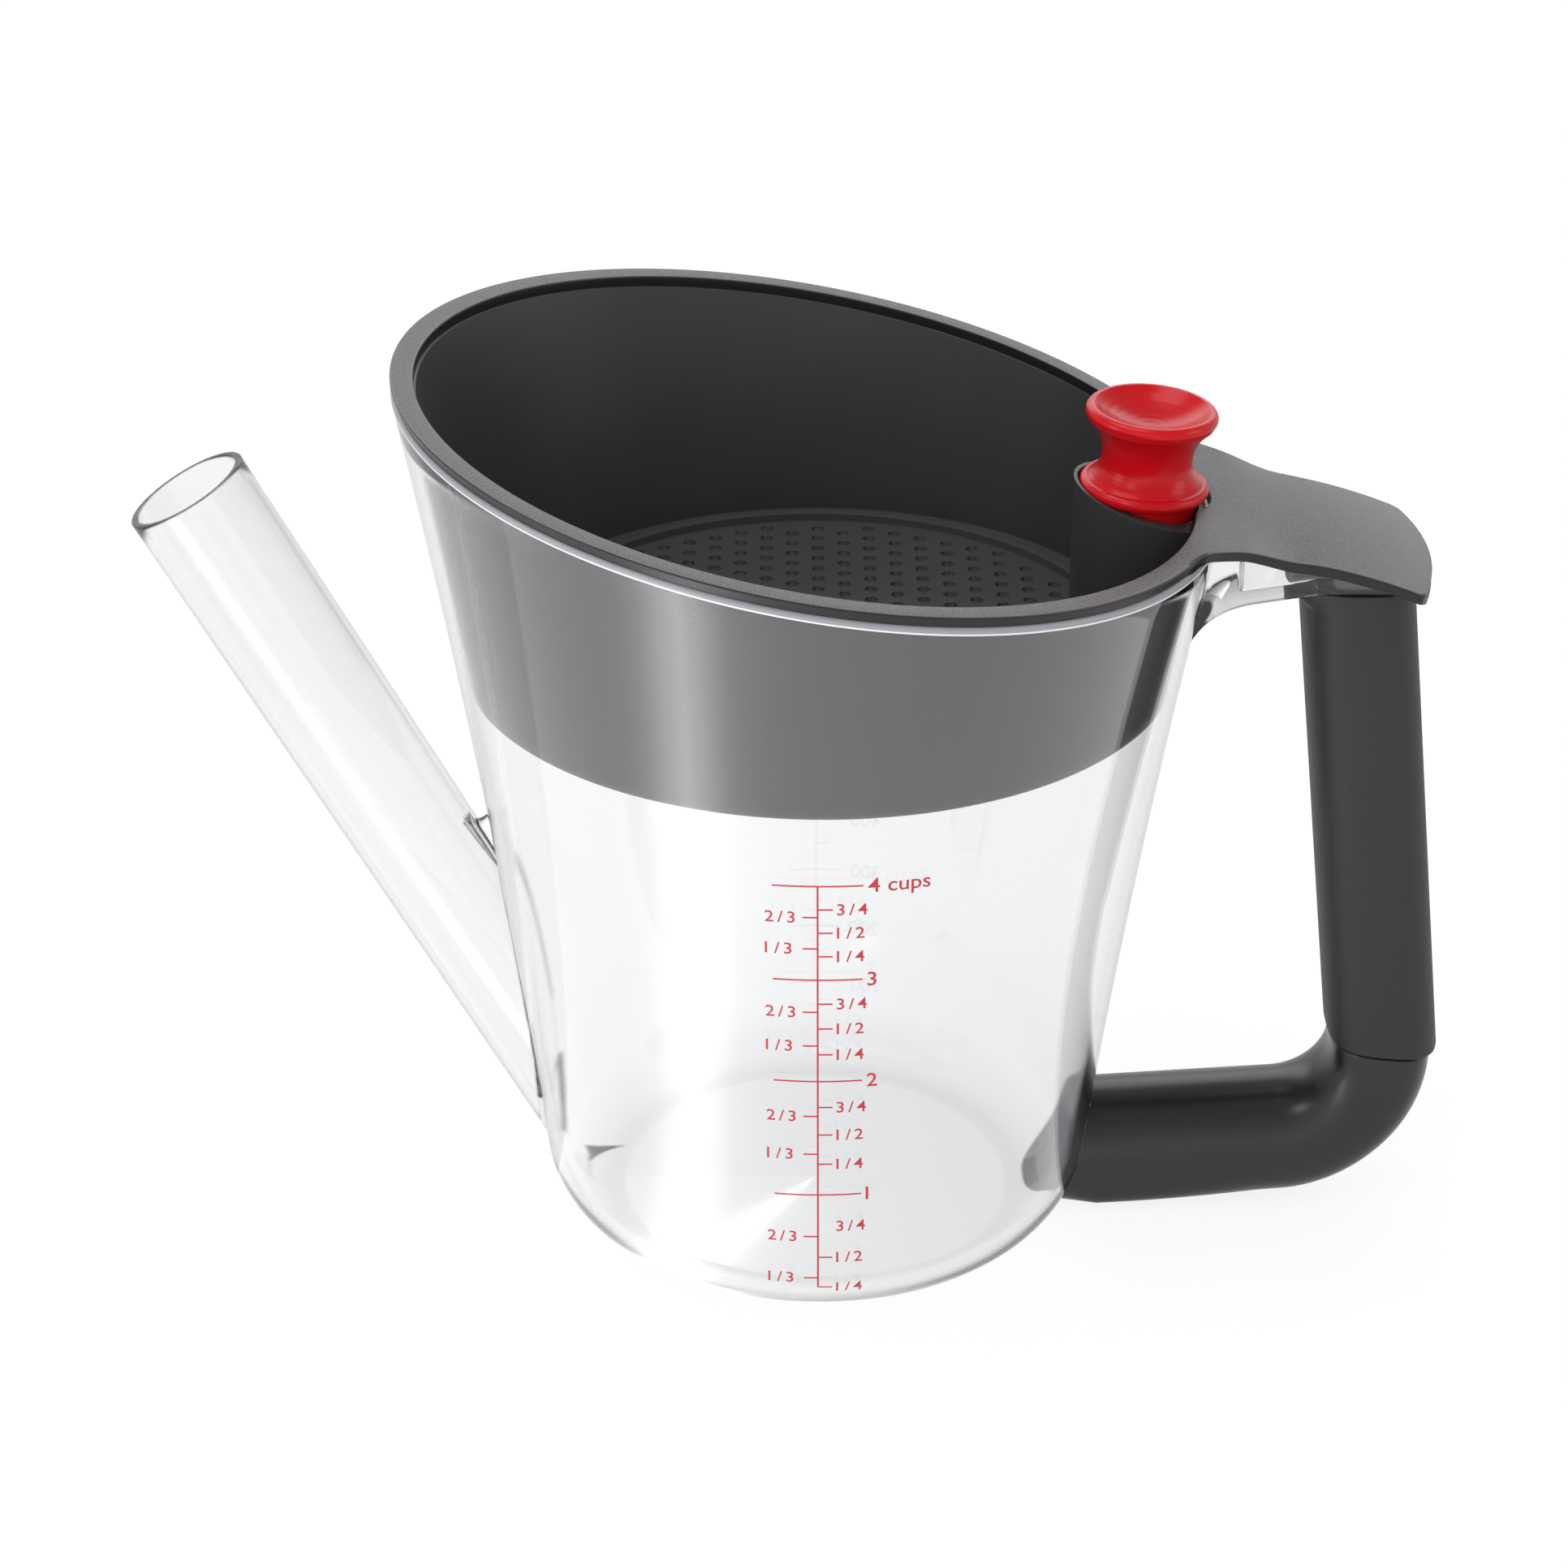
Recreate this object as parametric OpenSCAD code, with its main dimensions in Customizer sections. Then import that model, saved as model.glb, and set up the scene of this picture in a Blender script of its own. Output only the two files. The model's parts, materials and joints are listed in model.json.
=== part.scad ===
// Gravy fat separator: a clear pouring jug with a low spout, a lift-out
// strainer with a slanted rim, a stopper parked in the strainer, and a
// handle with a soft grip. Millimetres, +Z up, +X towards the handle.
// The origin is the centre of the foot, on the table.

/* [Cup] */
// Outer radius of the wall where it is carried down to the table
cup_base_r = 50.2; // [48:0.1:53]
// Outer radius of the wall at the gauge height
cup_top_r = 72.2; // [70:0.1:75]
// How far the wall falls inside a straight line, half way up
wall_bow = 1.4; // [0:0.1:3]
// Thickness of the clear wall
cup_wall = 2.0; // [1.5:0.1:2.6]
// Thickness of the clear floor
floor_t = 2.4; // [1.6:0.1:4]
// Outer radius of the corner between wall and foot
base_fillet_r = 14.8; // [11:0.1:17]
// Height of the strainer's rim over the cup's axis
rim_z = 157.4; // [152:0.1:162]
// Slope of the rim, down towards the handle, in degrees
rim_tilt = 9.95; // [7:0.05:11.5]

/* [Spout] */
// Lean of the spout from upright, in degrees
spout_lean = 28.9; // [27:0.1:30]
// How far the tube's axis, carried down to the table, lies inside the wall
spout_root = 17.6; // [16:0.1:19]
// Height of the centre of the mouth
mouth_z = 145.8; // [142:0.1:150]
// Outer radius of the tube at the mouth
mouth_r = 11.5; // [11.3:0.05:12.2]
// Outer radius of the tube where it meets the foot
spout_foot_r = 10.8; // [10.5:0.05:11.2]
// Radius of the straight seat that the stopper plugs
seat_r = 10.1; // [9.6:0.05:10.2]
// Length of that seat, down from the mouth
seat_len = 16; // [10:0.5:24]
// Radius of the bore at the foot
bore_foot_r = 9.4; // [9:0.05:9.7]
// Height of the top of the port from the cup into the spout
port_top_z = 24; // [22:0.5:30]
// Height of the top of the web between spout and wall
web_top_z = 79; // [76:0.5:84]
// Radius of the hollow in the web's top edge
web_hollow_r = 3; // [2:0.5:4]
// Thickness of that web
web_t = 2.2; // [1.6:0.1:4]

/* [Strainer] */
// Clearance between the strainer's wall and the cup's
strainer_gap = 0.3; // [0.2:0.05:0.6]
// Thickness of the strainer's wall
strainer_wall = 2.2; // [1.6:0.1:2.6]
// Height of the underside of the strainer
strainer_z = 113; // [108:0.5:116]
// Outer corner radius round the strainer's bottom
strainer_corner_r = 3; // [2:0.1:5]
// Thickness of the rim that rests on the cup
rim_t = 2.0; // [1.6:0.1:3]
// How far the rim stands out past the cup's wall
rim_overhang = 0.3; // [0.1:0.1:1]
// Radius of the rim's outer edge
rim_edge_r = 0.9; // [0.4:0.1:1.2]
// Width of the ledge that carries the strainer's floor
ledge_w = 4; // [3:0.1:5]
// Thickness of the ledge
ledge_t = 1.4; // [1:0.1:2]
// Thickness of the perforated floor
sieve_t = 1.6; // [1.2:0.1:2.4]
// Clearance round the edge of the perforated floor
sieve_gap = 0.15; // [0.1:0.05:0.3]
// Radius of the raised ring round the perforations
ring_r = 55; // [52:0.5:56]
// Width of that ring
ring_w = 1.6; // [1.2:0.1:2.5]
// Height of that ring over the floor
ring_h = 1.6; // [1:0.1:3]
// Pitch of the columns of holes
hole_pitch_x = 4.9; // [4.6:0.05:6]
// Pitch of the holes along a column
hole_pitch_y = 4.6; // [4.4:0.05:6]
// Width of a hole across its corners
hole_d = 2.7; // [1.5:0.1:3.2]

/* [Stopper] */
// Distance from the wall at the gauge height to the stopper's axis
stopper_inset = 14.7; // [14.2:0.1:15.7]
// Drop of the ledge under the stopper's flange, below the rim's slope
ledge_drop = 1.1; // [0.4:0.1:1.7]
// Lean of the stopper towards the handle, in degrees
stopper_lean = 3.5; // [2:0.1:4]
// Radius of the dished head
head_r = 11.8; // [10.5:0.1:13]
// Radius of the waist
waist_r = 8.1; // [7:0.1:9]
// Radius of the flange
flange_r = 11.6; // [11.2:0.1:11.8]
// Height of the stopper above its flange's underside
head_h = 16.1; // [14.5:0.1:18]
// Height of the waist above the flange's underside
waist_z = 6.7; // [5:0.1:8.5]
// Thickness of the flange at its edge
flange_t = 2.4; // [2:0.1:3]
// Depth of the dish in the head
dish_d = 3.8; // [2:0.1:5]
// Radius at the top of the plug
plug_r = 10.0; // [9.5:0.05:10.1]
// Taper of the plug's radius, top to bottom
plug_taper = 1.3; // [0.9:0.05:1.6]
// Length of the plug
plug_len = 10; // [8:0.5:10.5]
// Clearance between the stopper and its pocket
pocket_gap = 0.35; // [0.25:0.05:0.5]
// Outer radius of the pocket's tube
pocket_r = 13.0; // [12.6:0.1:13.6]
// Slope of the pocket's top edge, in degrees
pocket_tilt = 17; // [12:0.5:20]
// Drop of that edge below the ledge, at the pocket's axis
pocket_drop = 1.2; // [0.8:0.1:2]

/* [Tab] */
// Half width of the tab over the handle
tab_half_w = 19.8; // [17:0.1:22]
// Thickness of the tab
tab_t = 2.2; // [1.8:0.1:3]
// Radius of the hollow curve from the rim into the tab
flare_r = 47; // [42:0.5:60]
// Distance from the wall to the end of that curve
flare_len = 17.8; // [15:0.1:20]
// Distance from the wall to the start of the tab's downward bend
bend_len = 11.8; // [10:0.1:14]
// Radius of the downward bend of the tab
bend_r = 100; // [85:1:140]
// Drop of the tab's side edges below its middle
crown = 1.5; // [0.5:0.1:2]
// How far the tab reaches past the grip
tab_overhang = 2; // [1:0.1:3]
// How far the middle of the tab's end stands out past its corners
tab_bulge = 3; // [1:0.1:4]

/* [Handle] */
// Width of the grip, seen from the front
grip_w = 21.4; // [19:0.1:23]
// Depth of the grip, front to back
grip_d = 24; // [21:0.1:26]
// Corner radius of the grip
grip_corner_r = 6.5; // [5.5:0.1:8]
// Lean of the grip, its foot outwards, in degrees
grip_lean = 6.6; // [5:0.1:8]
// Distance from the wall at the gauge height to the grip's axis, half way up
grip_reach = 30; // [28:0.1:34]
// Thickness of the soft sleeve
sleeve_t = 2.6; // [2:0.1:3.5]
// Step from the sleeve down to the hard elbow
sleeve_step = 0.4; // [0.2:0.1:0.8]
// Height of the seam between sleeve and elbow
seam_z = 32.5; // [31:0.5:40]
// Slope of that seam, in degrees
seam_tilt = 5; // [0:0.5:8]
// Inner radius of the elbow
elbow_r = 10.9; // [9:0.1:12]
// Height of the centre of the elbow's bend
elbow_z = 32.6; // [31.6:0.1:36]
// Lean of the lower arm, its elbow end upwards, in degrees
arm_lean = 4.2; // [3:0.1:6]
// Height of the arm's section at the cup
arm_h = 17.8; // [15:0.1:19]
// Clearance of the arm over the table
arm_clear = 0.5; // [0.3:0.1:2]
// Depth of the clear bracket below the tab, at the grip
bracket_d = 9; // [7:0.1:11]
// Thickness of the bracket's walls
bracket_wall = 2.2; // [1.6:0.1:3]
// Radius of the hollow curve under the bracket
bracket_r = 18; // [15:0.5:19]
// Clearance between the tab and the bracket
tab_gap = 0.5; // [0.3:0.1:1]
// How far the handle's core stands up into the bracket
core_tenon = 3; // [2:0.1:4]
// Thickness of the cross ribs in the bracket
rib_t = 1.4; // [1:0.1:2]
// Distance of the first rib from the wall, and from rib to rib
rib_pitch = 6; // [4:0.5:6]

/* [Hidden] */
$fn = 96;
gauge_z = 150;
big = 400;
over = 1;

// The wall: a flared curve of revolution
function wall_r(z) = cup_base_r + (cup_top_r - cup_base_r) * z / gauge_z
    - 4 * wall_bow * (z / gauge_z) * (1 - z / gauge_z);
function wall_lean(z) = atan((cup_top_r - cup_base_r) / gauge_z
    - 4 * wall_bow / gauge_z * (1 - 2 * z / gauge_z));
// Height of the rim's top face at a distance x towards the handle
function rim_at(x) = rim_z - x * tan(rim_tilt);
// The highest point of the wall, with room to cut the slope through it
form_room = 6;
form_top = rim_at(-cup_top_r) + form_room;
wall_steps = 7;
arc_steps = 9;

// Profile of a cup shape: the wall moved in by inset, a floor at floor_z and a
// corner of radius fillet that meets the wall without a kink
function form_points(inset, floor_z, fillet) =
    let (lean = wall_lean(floor_z + fillet),
         arc_top = floor_z + fillet * (1 - sin(lean)),
         arc_x = wall_r(arc_top) - inset - fillet * cos(lean))
    concat([[0, floor_z]],
           [for (i = [0:arc_steps])
                let (a = -90 + i * (90 - lean) / arc_steps)
                [arc_x + fillet * cos(a), floor_z + fillet + fillet * sin(a)]],
           [for (i = [1:wall_steps])
                let (z = arc_top + i * (form_top - arc_top) / wall_steps)
                [wall_r(z) - inset, z]],
           [[0, form_top]]);

module form(inset, floor_z, fillet) {
    rotate_extrude() polygon(form_points(inset, floor_z, fillet));
}

// Everything below the rim's sloping top face, lowered by drop
module under_rim(drop) {
    translate([0, 0, rim_z - drop])
        rotate([0, rim_tilt, 0])
            translate([-big / 2, -big / 2, -big]) cube(big);
}

// A solid through a row of outlines that all have as many points, each running
// anticlockwise as seen from the start of the row, with a fan at either end
function middle(row) = [for (k = [0:2]) [for (p = row) p[k]] * [for (p = row) 1] / len(row)];

module loft(rows) {
    n = len(rows[0]);
    m = len(rows);
    polyhedron(
        points = concat([for (row = rows) for (p = row) p],
                        [middle(rows[0]), middle(rows[m - 1])]),
        faces = concat(
            [for (j = [0:n - 1]) [n * m, (j + 1) % n, j]],
            [for (i = [0:m - 2]) for (j = [0:n - 1])
                [i * n + j, (i + 1) * n + (j + 1) % n, (i + 1) * n + j]],
            [for (i = [0:m - 2]) for (j = [0:n - 1])
                [i * n + j, i * n + (j + 1) % n, (i + 1) * n + (j + 1) % n]],
            [for (j = [0:n - 1]) [n * m + 1, (m - 1) * n + j, (m - 1) * n + (j + 1) % n]]));
}

// Rectangle with round corners, centred
module round_rect(w, d, r) {
    square([w - 2 * r, d], center = true);
    square([w, d - 2 * r], center = true);
    for (sx = [-1, 1])
        for (sy = [-1, 1])
            translate([sx * (w / 2 - r), sy * (d / 2 - r)]) circle(r);
}

// ---------------------------------------------------------------- cup
cup_inner_r = base_fillet_r - cup_wall;

module cup_outside() { form(0, 0, base_fillet_r); }
module cup_inside() { form(cup_wall, floor_t, cup_inner_r); }

// The clear jug: flared wall, flat foot, sloping rim, and the low port
// through which the juice under the fat runs into the spout
module cup() {
    color([0.86, 0.89, 0.91, 0.45])
        difference() {
            intersection() {
                cup_outside();
                under_rim(rim_t);
            }
            cup_inside();
            intersection() {
                spout_bore();
                translate([-big / 2, -big / 2, floor_t])
                    cube([big, big, port_top_z - floor_t]);
            }
        }
}

// ---------------------------------------------------------------- spout
// Distance from the cup's axis to the centre of the mouth
mouth_reach = cup_base_r - spout_root + mouth_z * tan(spout_lean);
// Distance along the tube from its mouth down to the table
spout_len = mouth_z / cos(spout_lean);
// Below this height the tube is all inside the cup's rounded foot
spout_low_z = base_fillet_r * 0.55;
// Radius of the tube at a height z
function spout_r(z) = spout_foot_r + (mouth_r - spout_foot_r) * z / mouth_z;
// Distance of the tube's axis from the cup's axis, at a height z
function spout_x(z) = -mouth_reach + (mouth_z - z) * tan(spout_lean);

module at_mouth() {
    translate([-mouth_reach, 0, mouth_z]) rotate([0, -spout_lean, 0]) children();
}

module spout_bore() {
    at_mouth() {
        translate([0, 0, -seat_len]) cylinder(r = seat_r, h = seat_len + over);
        translate([0, 0, -spout_len])
            cylinder(r1 = bore_foot_r, r2 = seat_r, h = spout_len - seat_len);
    }
}

// Web that ties the tube to the wall above the point where they meet
web_h = 35;

module spout_web() {
    left = spout_x(web_top_z);
    low = web_top_z - web_h;
    translate([0, web_t / 2, 0])
        rotate([90, 0, 0])
            linear_extrude(web_t)
                difference() {
                    polygon([[left, web_top_z], [-wall_r(web_top_z) + over, web_top_z],
                             [-wall_r(low) + over, low], [spout_x(low), low]]);
                    translate([-wall_r(web_top_z) - web_hollow_r, web_top_z + web_hollow_r / 3])
                        circle(web_hollow_r);
                }
}

// The clear tube, straight, wider towards its mouth, moulded on the cup's wall
module pour_spout() {
    color([0.80, 0.85, 0.88, 0.45])
        difference() {
            union() {
                at_mouth()
                    translate([0, 0, -spout_len])
                        cylinder(r1 = spout_foot_r, r2 = mouth_r, h = spout_len);
                spout_web();
            }
            spout_bore();
            cup_outside();
            translate([-big / 2, -big / 2, -big + spout_low_z]) cube(big);
        }
}

// ---------------------------------------------------------------- strainer
strainer_inset = cup_wall + strainer_gap;
basket_inset = strainer_inset + strainer_wall;
sieve_z = strainer_z + ledge_t;
basket_corner_r = strainer_corner_r - ledge_t;

module strainer_outside() { form(strainer_inset, strainer_z, strainer_corner_r); }
module strainer_inside() { form(basket_inset, sieve_z, basket_corner_r); }

// One layer of the rim: the wall's outline grown by grow, between two drops
// below the rim's top face
module rim_layer(grow, high, low) {
    difference() {
        intersection() {
            form(-grow, strainer_z, base_fillet_r);
            under_rim(high);
        }
        under_rim(low);
    }
}

module rim_plate() {
    soft = rim_edge_r;
    hull() {
        rim_layer(rim_overhang, soft, rim_t);
        rim_layer(rim_overhang - soft * (1 - cos(45)), soft * (1 - sin(45)), rim_t);
        rim_layer(rim_overhang - soft, 0, rim_t);
    }
}

// The tab: widest at the rim, drawn in along a hollow curve, crowned across,
// and bent down over the top of the handle
bend_x = cup_top_r + bend_len;
flare_x = cup_top_r + flare_len;
// Underside of the bracket, where the grip ends
bracket_z = rim_at(bend_x) - tab_t - tab_gap - bracket_d;
grip_mid_z = (seam_z + bracket_z) / 2;
// Distance of the grip's axis from the cup's axis, at a height z
function grip_at(z) = cup_top_r + grip_reach - (z - grip_mid_z) * tan(grip_lean);
tab_end_x = grip_at(bracket_z) + grip_w / 2 / cos(grip_lean) + tab_overhang;
// The tab starts inside the rim, and is as thick as the rim while it is over the wall
tab_root = 12.2;
tab_start_x = cup_top_r - tab_root;
tab_free_x = cup_top_r + rim_overhang;
tab_rows = 16;
tab_cols = 8;
tab_edge_r = 0.8;

function tab_w(x) = tab_half_w
    + (x < flare_x ? flare_r - sqrt(flare_r * flare_r - pow(flare_x - x, 2)) : 0);
// Drop of the bent part of the tab below the rim's slope
function bend_turn(x) = asin(sin(rim_tilt) + (x - bend_x) / bend_r);
function tab_top(x) = x < bend_x ? rim_at(x)
    : rim_at(bend_x) - bend_r * (cos(rim_tilt) - cos(bend_turn(x)));
function ease(t) = t <= 0 ? 0 : t >= 1 ? 1 : t * t * (3 - 2 * t);
// Share of the way from the wall to the start of the bend
function tab_share(x) = ease((x - tab_free_x) / (bend_x - tab_free_x));
function tab_crown(x) = crown * tab_share(x);
function tab_depth(x) = rim_t + (tab_t - rim_t) * tab_share(x);
// Height of the tab's top face at x, y
function tab_face(x, y) = tab_top(x) - tab_crown(x) * pow(y / tab_half_w, 2);

// Outline across the tab at x, drawn in all round by trim: the underside, and the
// crowned top with soft edges, bowed towards the handle's end
function tab_point(x, y, drop) =
    [x - tab_bulge * ease((x - bend_x) / (tab_end_x - bend_x)) * pow(y / tab_half_w, 2),
     y, tab_face(x, y) - drop];

function tab_row(x, trim) =
    let (w = tab_w(x) - trim, e = tab_edge_r, depth = tab_depth(x))
    concat([tab_point(x, -w, depth), tab_point(x, -w, trim + e)],
           [for (i = [0:tab_cols]) tab_point(x, (w - e) * (2 * i / tab_cols - 1), trim)],
           [tab_point(x, w, trim + e), tab_point(x, w, depth)],
           [for (i = [1:tab_cols - 1]) tab_point(x, w * (1 - 2 * i / tab_cols), depth)]);

module tab() {
    body_end = tab_end_x - tab_edge_r;
    loft(concat(
        [for (i = [0:tab_rows])
            tab_row(tab_start_x + i * (body_end - tab_start_x) / tab_rows, 0)],
        [tab_row(body_end + tab_edge_r * sin(45), tab_edge_r * (1 - cos(45))),
         tab_row(tab_end_x, tab_edge_r)]));
}

// The pocket that parks the stopper: an upright tube inside the wall, its top
// edge sloping, cored from below
stopper_x = cup_top_r - stopper_inset;
ledge_z = rim_at(stopper_x) - ledge_drop;
pocket_shift = 0.5;
pocket_x = stopper_x + pocket_shift;
// Room under the plug, and the height where the pocket's hollow foot ends
plug_room = 1;
pocket_floor_z = ledge_z - plug_len - plug_room - plug_r * sin(stopper_lean) - strainer_wall;

module at_stopper() {
    translate([stopper_x, 0, ledge_z]) rotate([0, stopper_lean, 0]) children();
}

module pocket_tube() {
    difference() {
        intersection() {
            translate([pocket_x, 0, strainer_z]) cylinder(r = pocket_r, h = big / 4);
            strainer_outside();
        }
        translate([pocket_x, 0, ledge_z - pocket_drop])
            rotate([0, pocket_tilt, 0])
                translate([-big / 2, -big / 2, 0]) cube(big);
    }
}

module pocket_bores() {
    at_stopper() {
        cylinder(r = flange_r + pocket_gap, h = big / 8);
        translate([0, 0, -plug_len - plug_room])
            cylinder(r1 = plug_r - plug_taper + pocket_gap, r2 = plug_r + pocket_gap,
                     h = plug_len + plug_room + over / 10);
    }
}

module pocket_core() {
    intersection() {
        translate([pocket_x, 0, strainer_z - over])
            cylinder(r = pocket_r - strainer_wall, h = pocket_floor_z - strainer_z + over);
        form(basket_inset, strainer_z - over, strainer_corner_r);
    }
}

// The basket: tapered wall inside the cup's, ledge for the floor, and pocket
module strainer_basket() {
    color([0.22, 0.22, 0.23])
        difference() {
            union() {
                difference() {
                    intersection() {
                        strainer_outside();
                        under_rim(rim_t);
                    }
                    strainer_inside();
                    translate([0, 0, strainer_z - over])
                        cylinder(r = sieve_r - ledge_w, h = ledge_t + 2 * over);
                }
                pocket_tube();
            }
            pocket_bores();
            pocket_core();
        }
}

// The rim and the tab: the flat ring that rests on the cup's edge and closes the
// basket's wall, drawn out over the top of the handle
module strainer_rim() {
    color([0.36, 0.36, 0.37])
        difference() {
            union() {
                rim_plate();
                tab();
            }
            strainer_inside();
            pocket_bores();
        }
}

// Radius of the perforated floor, where it drops onto its ledge
sieve_r = wall_r(sieve_z) - basket_inset - basket_corner_r * 0.5 - sieve_gap;
hole_margin = 0.8;
hole_reach = ring_r - ring_w / 2 - hole_d / 2 - hole_margin;
hole_cols = floor(hole_reach / hole_pitch_x);
hole_rows = floor(hole_reach / hole_pitch_y);

// The perforated floor: staggered six-sided holes inside a raised ring
module strainer_floor() {
    color([0.16, 0.16, 0.17])
        difference() {
            union() {
                translate([0, 0, sieve_z])
                    linear_extrude(sieve_t)
                        difference() {
                            circle(sieve_r);
                            sieve_holes();
                        }
                translate([0, 0, sieve_z + sieve_t])
                    linear_extrude(ring_h)
                        difference() {
                            circle(ring_r + ring_w / 2);
                            circle(ring_r - ring_w / 2);
                        }
            }
            translate([pocket_x, 0, strainer_z])
                cylinder(r = pocket_r + sieve_gap, h = big / 8);
        }
}

module sieve_holes() {
    for (i = [-hole_cols:hole_cols])
        for (j = [-hole_rows:hole_rows]) {
            x = i * hole_pitch_x;
            y = (j + (i % 2 == 0 ? 0 : 0.5)) * hole_pitch_y;
            if (norm([x, y]) < hole_reach
                && norm([x - pocket_x, y]) > pocket_r + hole_d)
                translate([x, y]) circle(d = hole_d, $fn = 6);
        }
}

// ---------------------------------------------------------------- stopper
// Half profile of the stopper, from the underside of its flange
function arc(cx, cz, r, a0, a1, n) =
    [for (i = [0:n]) let (a = a0 + (a1 - a0) * i / n) [cx + r * cos(a), cz + r * sin(a)]];

flange_edge_r = flange_t / 2;
head_edge_r = 1.3;
plug_edge_r = 0.8;

// Radius at a share t of the way from the waist to a rim of radius r
waist_power = 2.4;
function hollow_r(r, t) = waist_r + (r - waist_r) * pow(t, waist_power);

function stopper_profile() = concat(
    [[0, -plug_len]],
    arc(plug_r - plug_taper - plug_edge_r, -plug_len + plug_edge_r, plug_edge_r, -90, -5, 4),
    [[plug_r, 0]],
    arc(flange_r - flange_edge_r, flange_edge_r, flange_edge_r, -90, 90, 8),
    [for (i = [7:-1:1])
        [hollow_r(flange_r - flange_edge_r, i / 7), waist_z - (waist_z - flange_t) * i / 7]],
    [for (i = [0:8])
        [hollow_r(head_r - head_edge_r * 0.4, i / 8),
         waist_z + (head_h - 2 * head_edge_r - waist_z) * i / 8]],
    arc(head_r - head_edge_r, head_h - head_edge_r, head_edge_r, -25, 100, 7),
    [for (i = [1:7])
        [(head_r - head_edge_r) * (1 - i / 7), head_h - dish_d * (1 - pow(1 - i / 7, 2))]]);

// The stopper: soft, dished head to pinch, waist, flange and tapered plug
module stopper() {
    color([0.80, 0.06, 0.09])
        at_stopper() rotate_extrude() polygon(stopper_profile());
}

// ---------------------------------------------------------------- handle
elbow_w = grip_w - 2 * sleeve_step;
elbow_d = grip_d - 2 * sleeve_step;
elbow_corner_r = grip_corner_r - sleeve_step;
// Centre of the elbow's bend
elbow_x = grip_at(elbow_z) - (elbow_r + elbow_w / 2) / cos(grip_lean);
core_w = grip_w - 2 * sleeve_t;
core_d = grip_d - 2 * sleeve_t;
core_corner_r = grip_corner_r - sleeve_t;
core_gap = 0.1;

// Places a shape that is drawn along +Z on the grip's leaning axis
module on_grip() {
    translate([grip_at(elbow_z), 0, elbow_z]) rotate([0, -grip_lean, 0]) children();
}

module below(z, tilt) {
    translate([grip_at(z), 0, z])
        rotate([0, tilt, 0])
            translate([-big / 2, -big / 2, -big]) cube(big);
}

// The arm's axis, from the elbow's bend down to where it sinks in the cup
arm_top_x = elbow_x + (elbow_r + elbow_w / 2) * sin(arm_lean);
arm_top_z = elbow_z - (elbow_r + elbow_w / 2) * cos(arm_lean);
arm_sink = 12;
arm_foot_x = cup_base_r - arm_sink;
arm_foot_z = arm_top_z - (arm_top_x - arm_foot_x) * tan(arm_lean);
arm_slice = 0.2;

// Thin section of the arm, h high
module arm_section(h, x, z) {
    translate([x, 0, z])
        rotate([0, 90 - arm_lean, 0])
            linear_extrude(arm_slice)
                round_rect(h, elbow_d, elbow_corner_r - arm_slice, $fn = 32);
}

module core(grow) {
    on_grip()
        linear_extrude(big / 2)
            round_rect(core_w + 2 * grow, core_d + 2 * grow, core_corner_r + grow);
}

// The elbow: a quarter bend, and a straight end for the seam to cut
module elbow() {
    translate([elbow_x, 0, elbow_z])
        rotate([90, 0, 0])
            rotate([0, 0, -90 + arm_lean])
                rotate_extrude(angle = 90 - arm_lean + grip_lean)
                    translate([elbow_r + elbow_w / 2, 0])
                        round_rect(elbow_w, elbow_d, elbow_corner_r);
    on_grip() linear_extrude(grip_d) round_rect(elbow_w, elbow_d, elbow_corner_r);
}

// The hard frame: arm from the foot of the cup, elbow, and the core that the
// sleeve covers and the bracket holds
module handle_frame() {
    color([0.10, 0.10, 0.11])
        difference() {
            union() {
                intersection() {
                    elbow();
                    below(seam_z, seam_tilt);
                }
                intersection() {
                    core(0);
                    below(bracket_z + core_tenon, 0);
                }
                hull() {
                    arm_section(elbow_w, arm_top_x, arm_top_z);
                    arm_section(arm_h, arm_foot_x, arm_foot_z);
                }
            }
            cup_outside();
            translate([-big / 2, -big / 2, arm_clear - big]) cube(big);
        }
}

// The lip at the sleeve's top, on its inner side: how far it stands out, how far
// it reaches into the sleeve and down it, its edge, and its distance from the sides
lip_out = 3.6;
lip_root = 4;
lip_h = 9;
lip_t = 1.6;
lip_inset = 3;

// The soft sleeve: leaning, round-cornered, with a small lip under the bracket
module handle_grip() {
    lip_w = grip_d - lip_inset * 2;
    edge_x = grip_at(bracket_z) - grip_w / 2 / cos(grip_lean);
    color([0.20, 0.20, 0.21])
        difference() {
            union() {
                intersection() {
                    on_grip()
                        translate([0, 0, -grip_d])
                            linear_extrude(big / 2)
                                round_rect(grip_w, grip_d, grip_corner_r);
                    below(bracket_z, 0);
                }
                translate([edge_x, lip_w / 2, bracket_z])
                    rotate([90, 0, 0])
                        linear_extrude(lip_w)
                            difference() {
                                polygon([[-lip_out, 0], [lip_root, 0],
                                         [lip_root, -lip_h - lip_t],
                                         [lip_root / 3, -lip_h], [-lip_out, -lip_t]]);
                                translate([-lip_out * 2, -lip_h]) circle(lip_h * 0.8);
                            }
            }
            core(0);
            below(seam_z, seam_tilt);
        }
}

// Outline of the bracket seen from above, drawn in from the tab's by inset
bracket_steps = 24;
function bracket_plan(inset) =
    let (steps = bracket_steps, x0 = tab_start_x, x1 = tab_end_x - tab_bulge - tab_gap - inset)
    concat([for (i = [0:steps]) let (x = x0 + i * (x1 - x0) / steps) [x, tab_w(x) - inset]],
           [for (i = [steps:-1:0]) let (x = x0 + i * (x1 - x0) / steps) [x, -tab_w(x) + inset]]);

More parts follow.
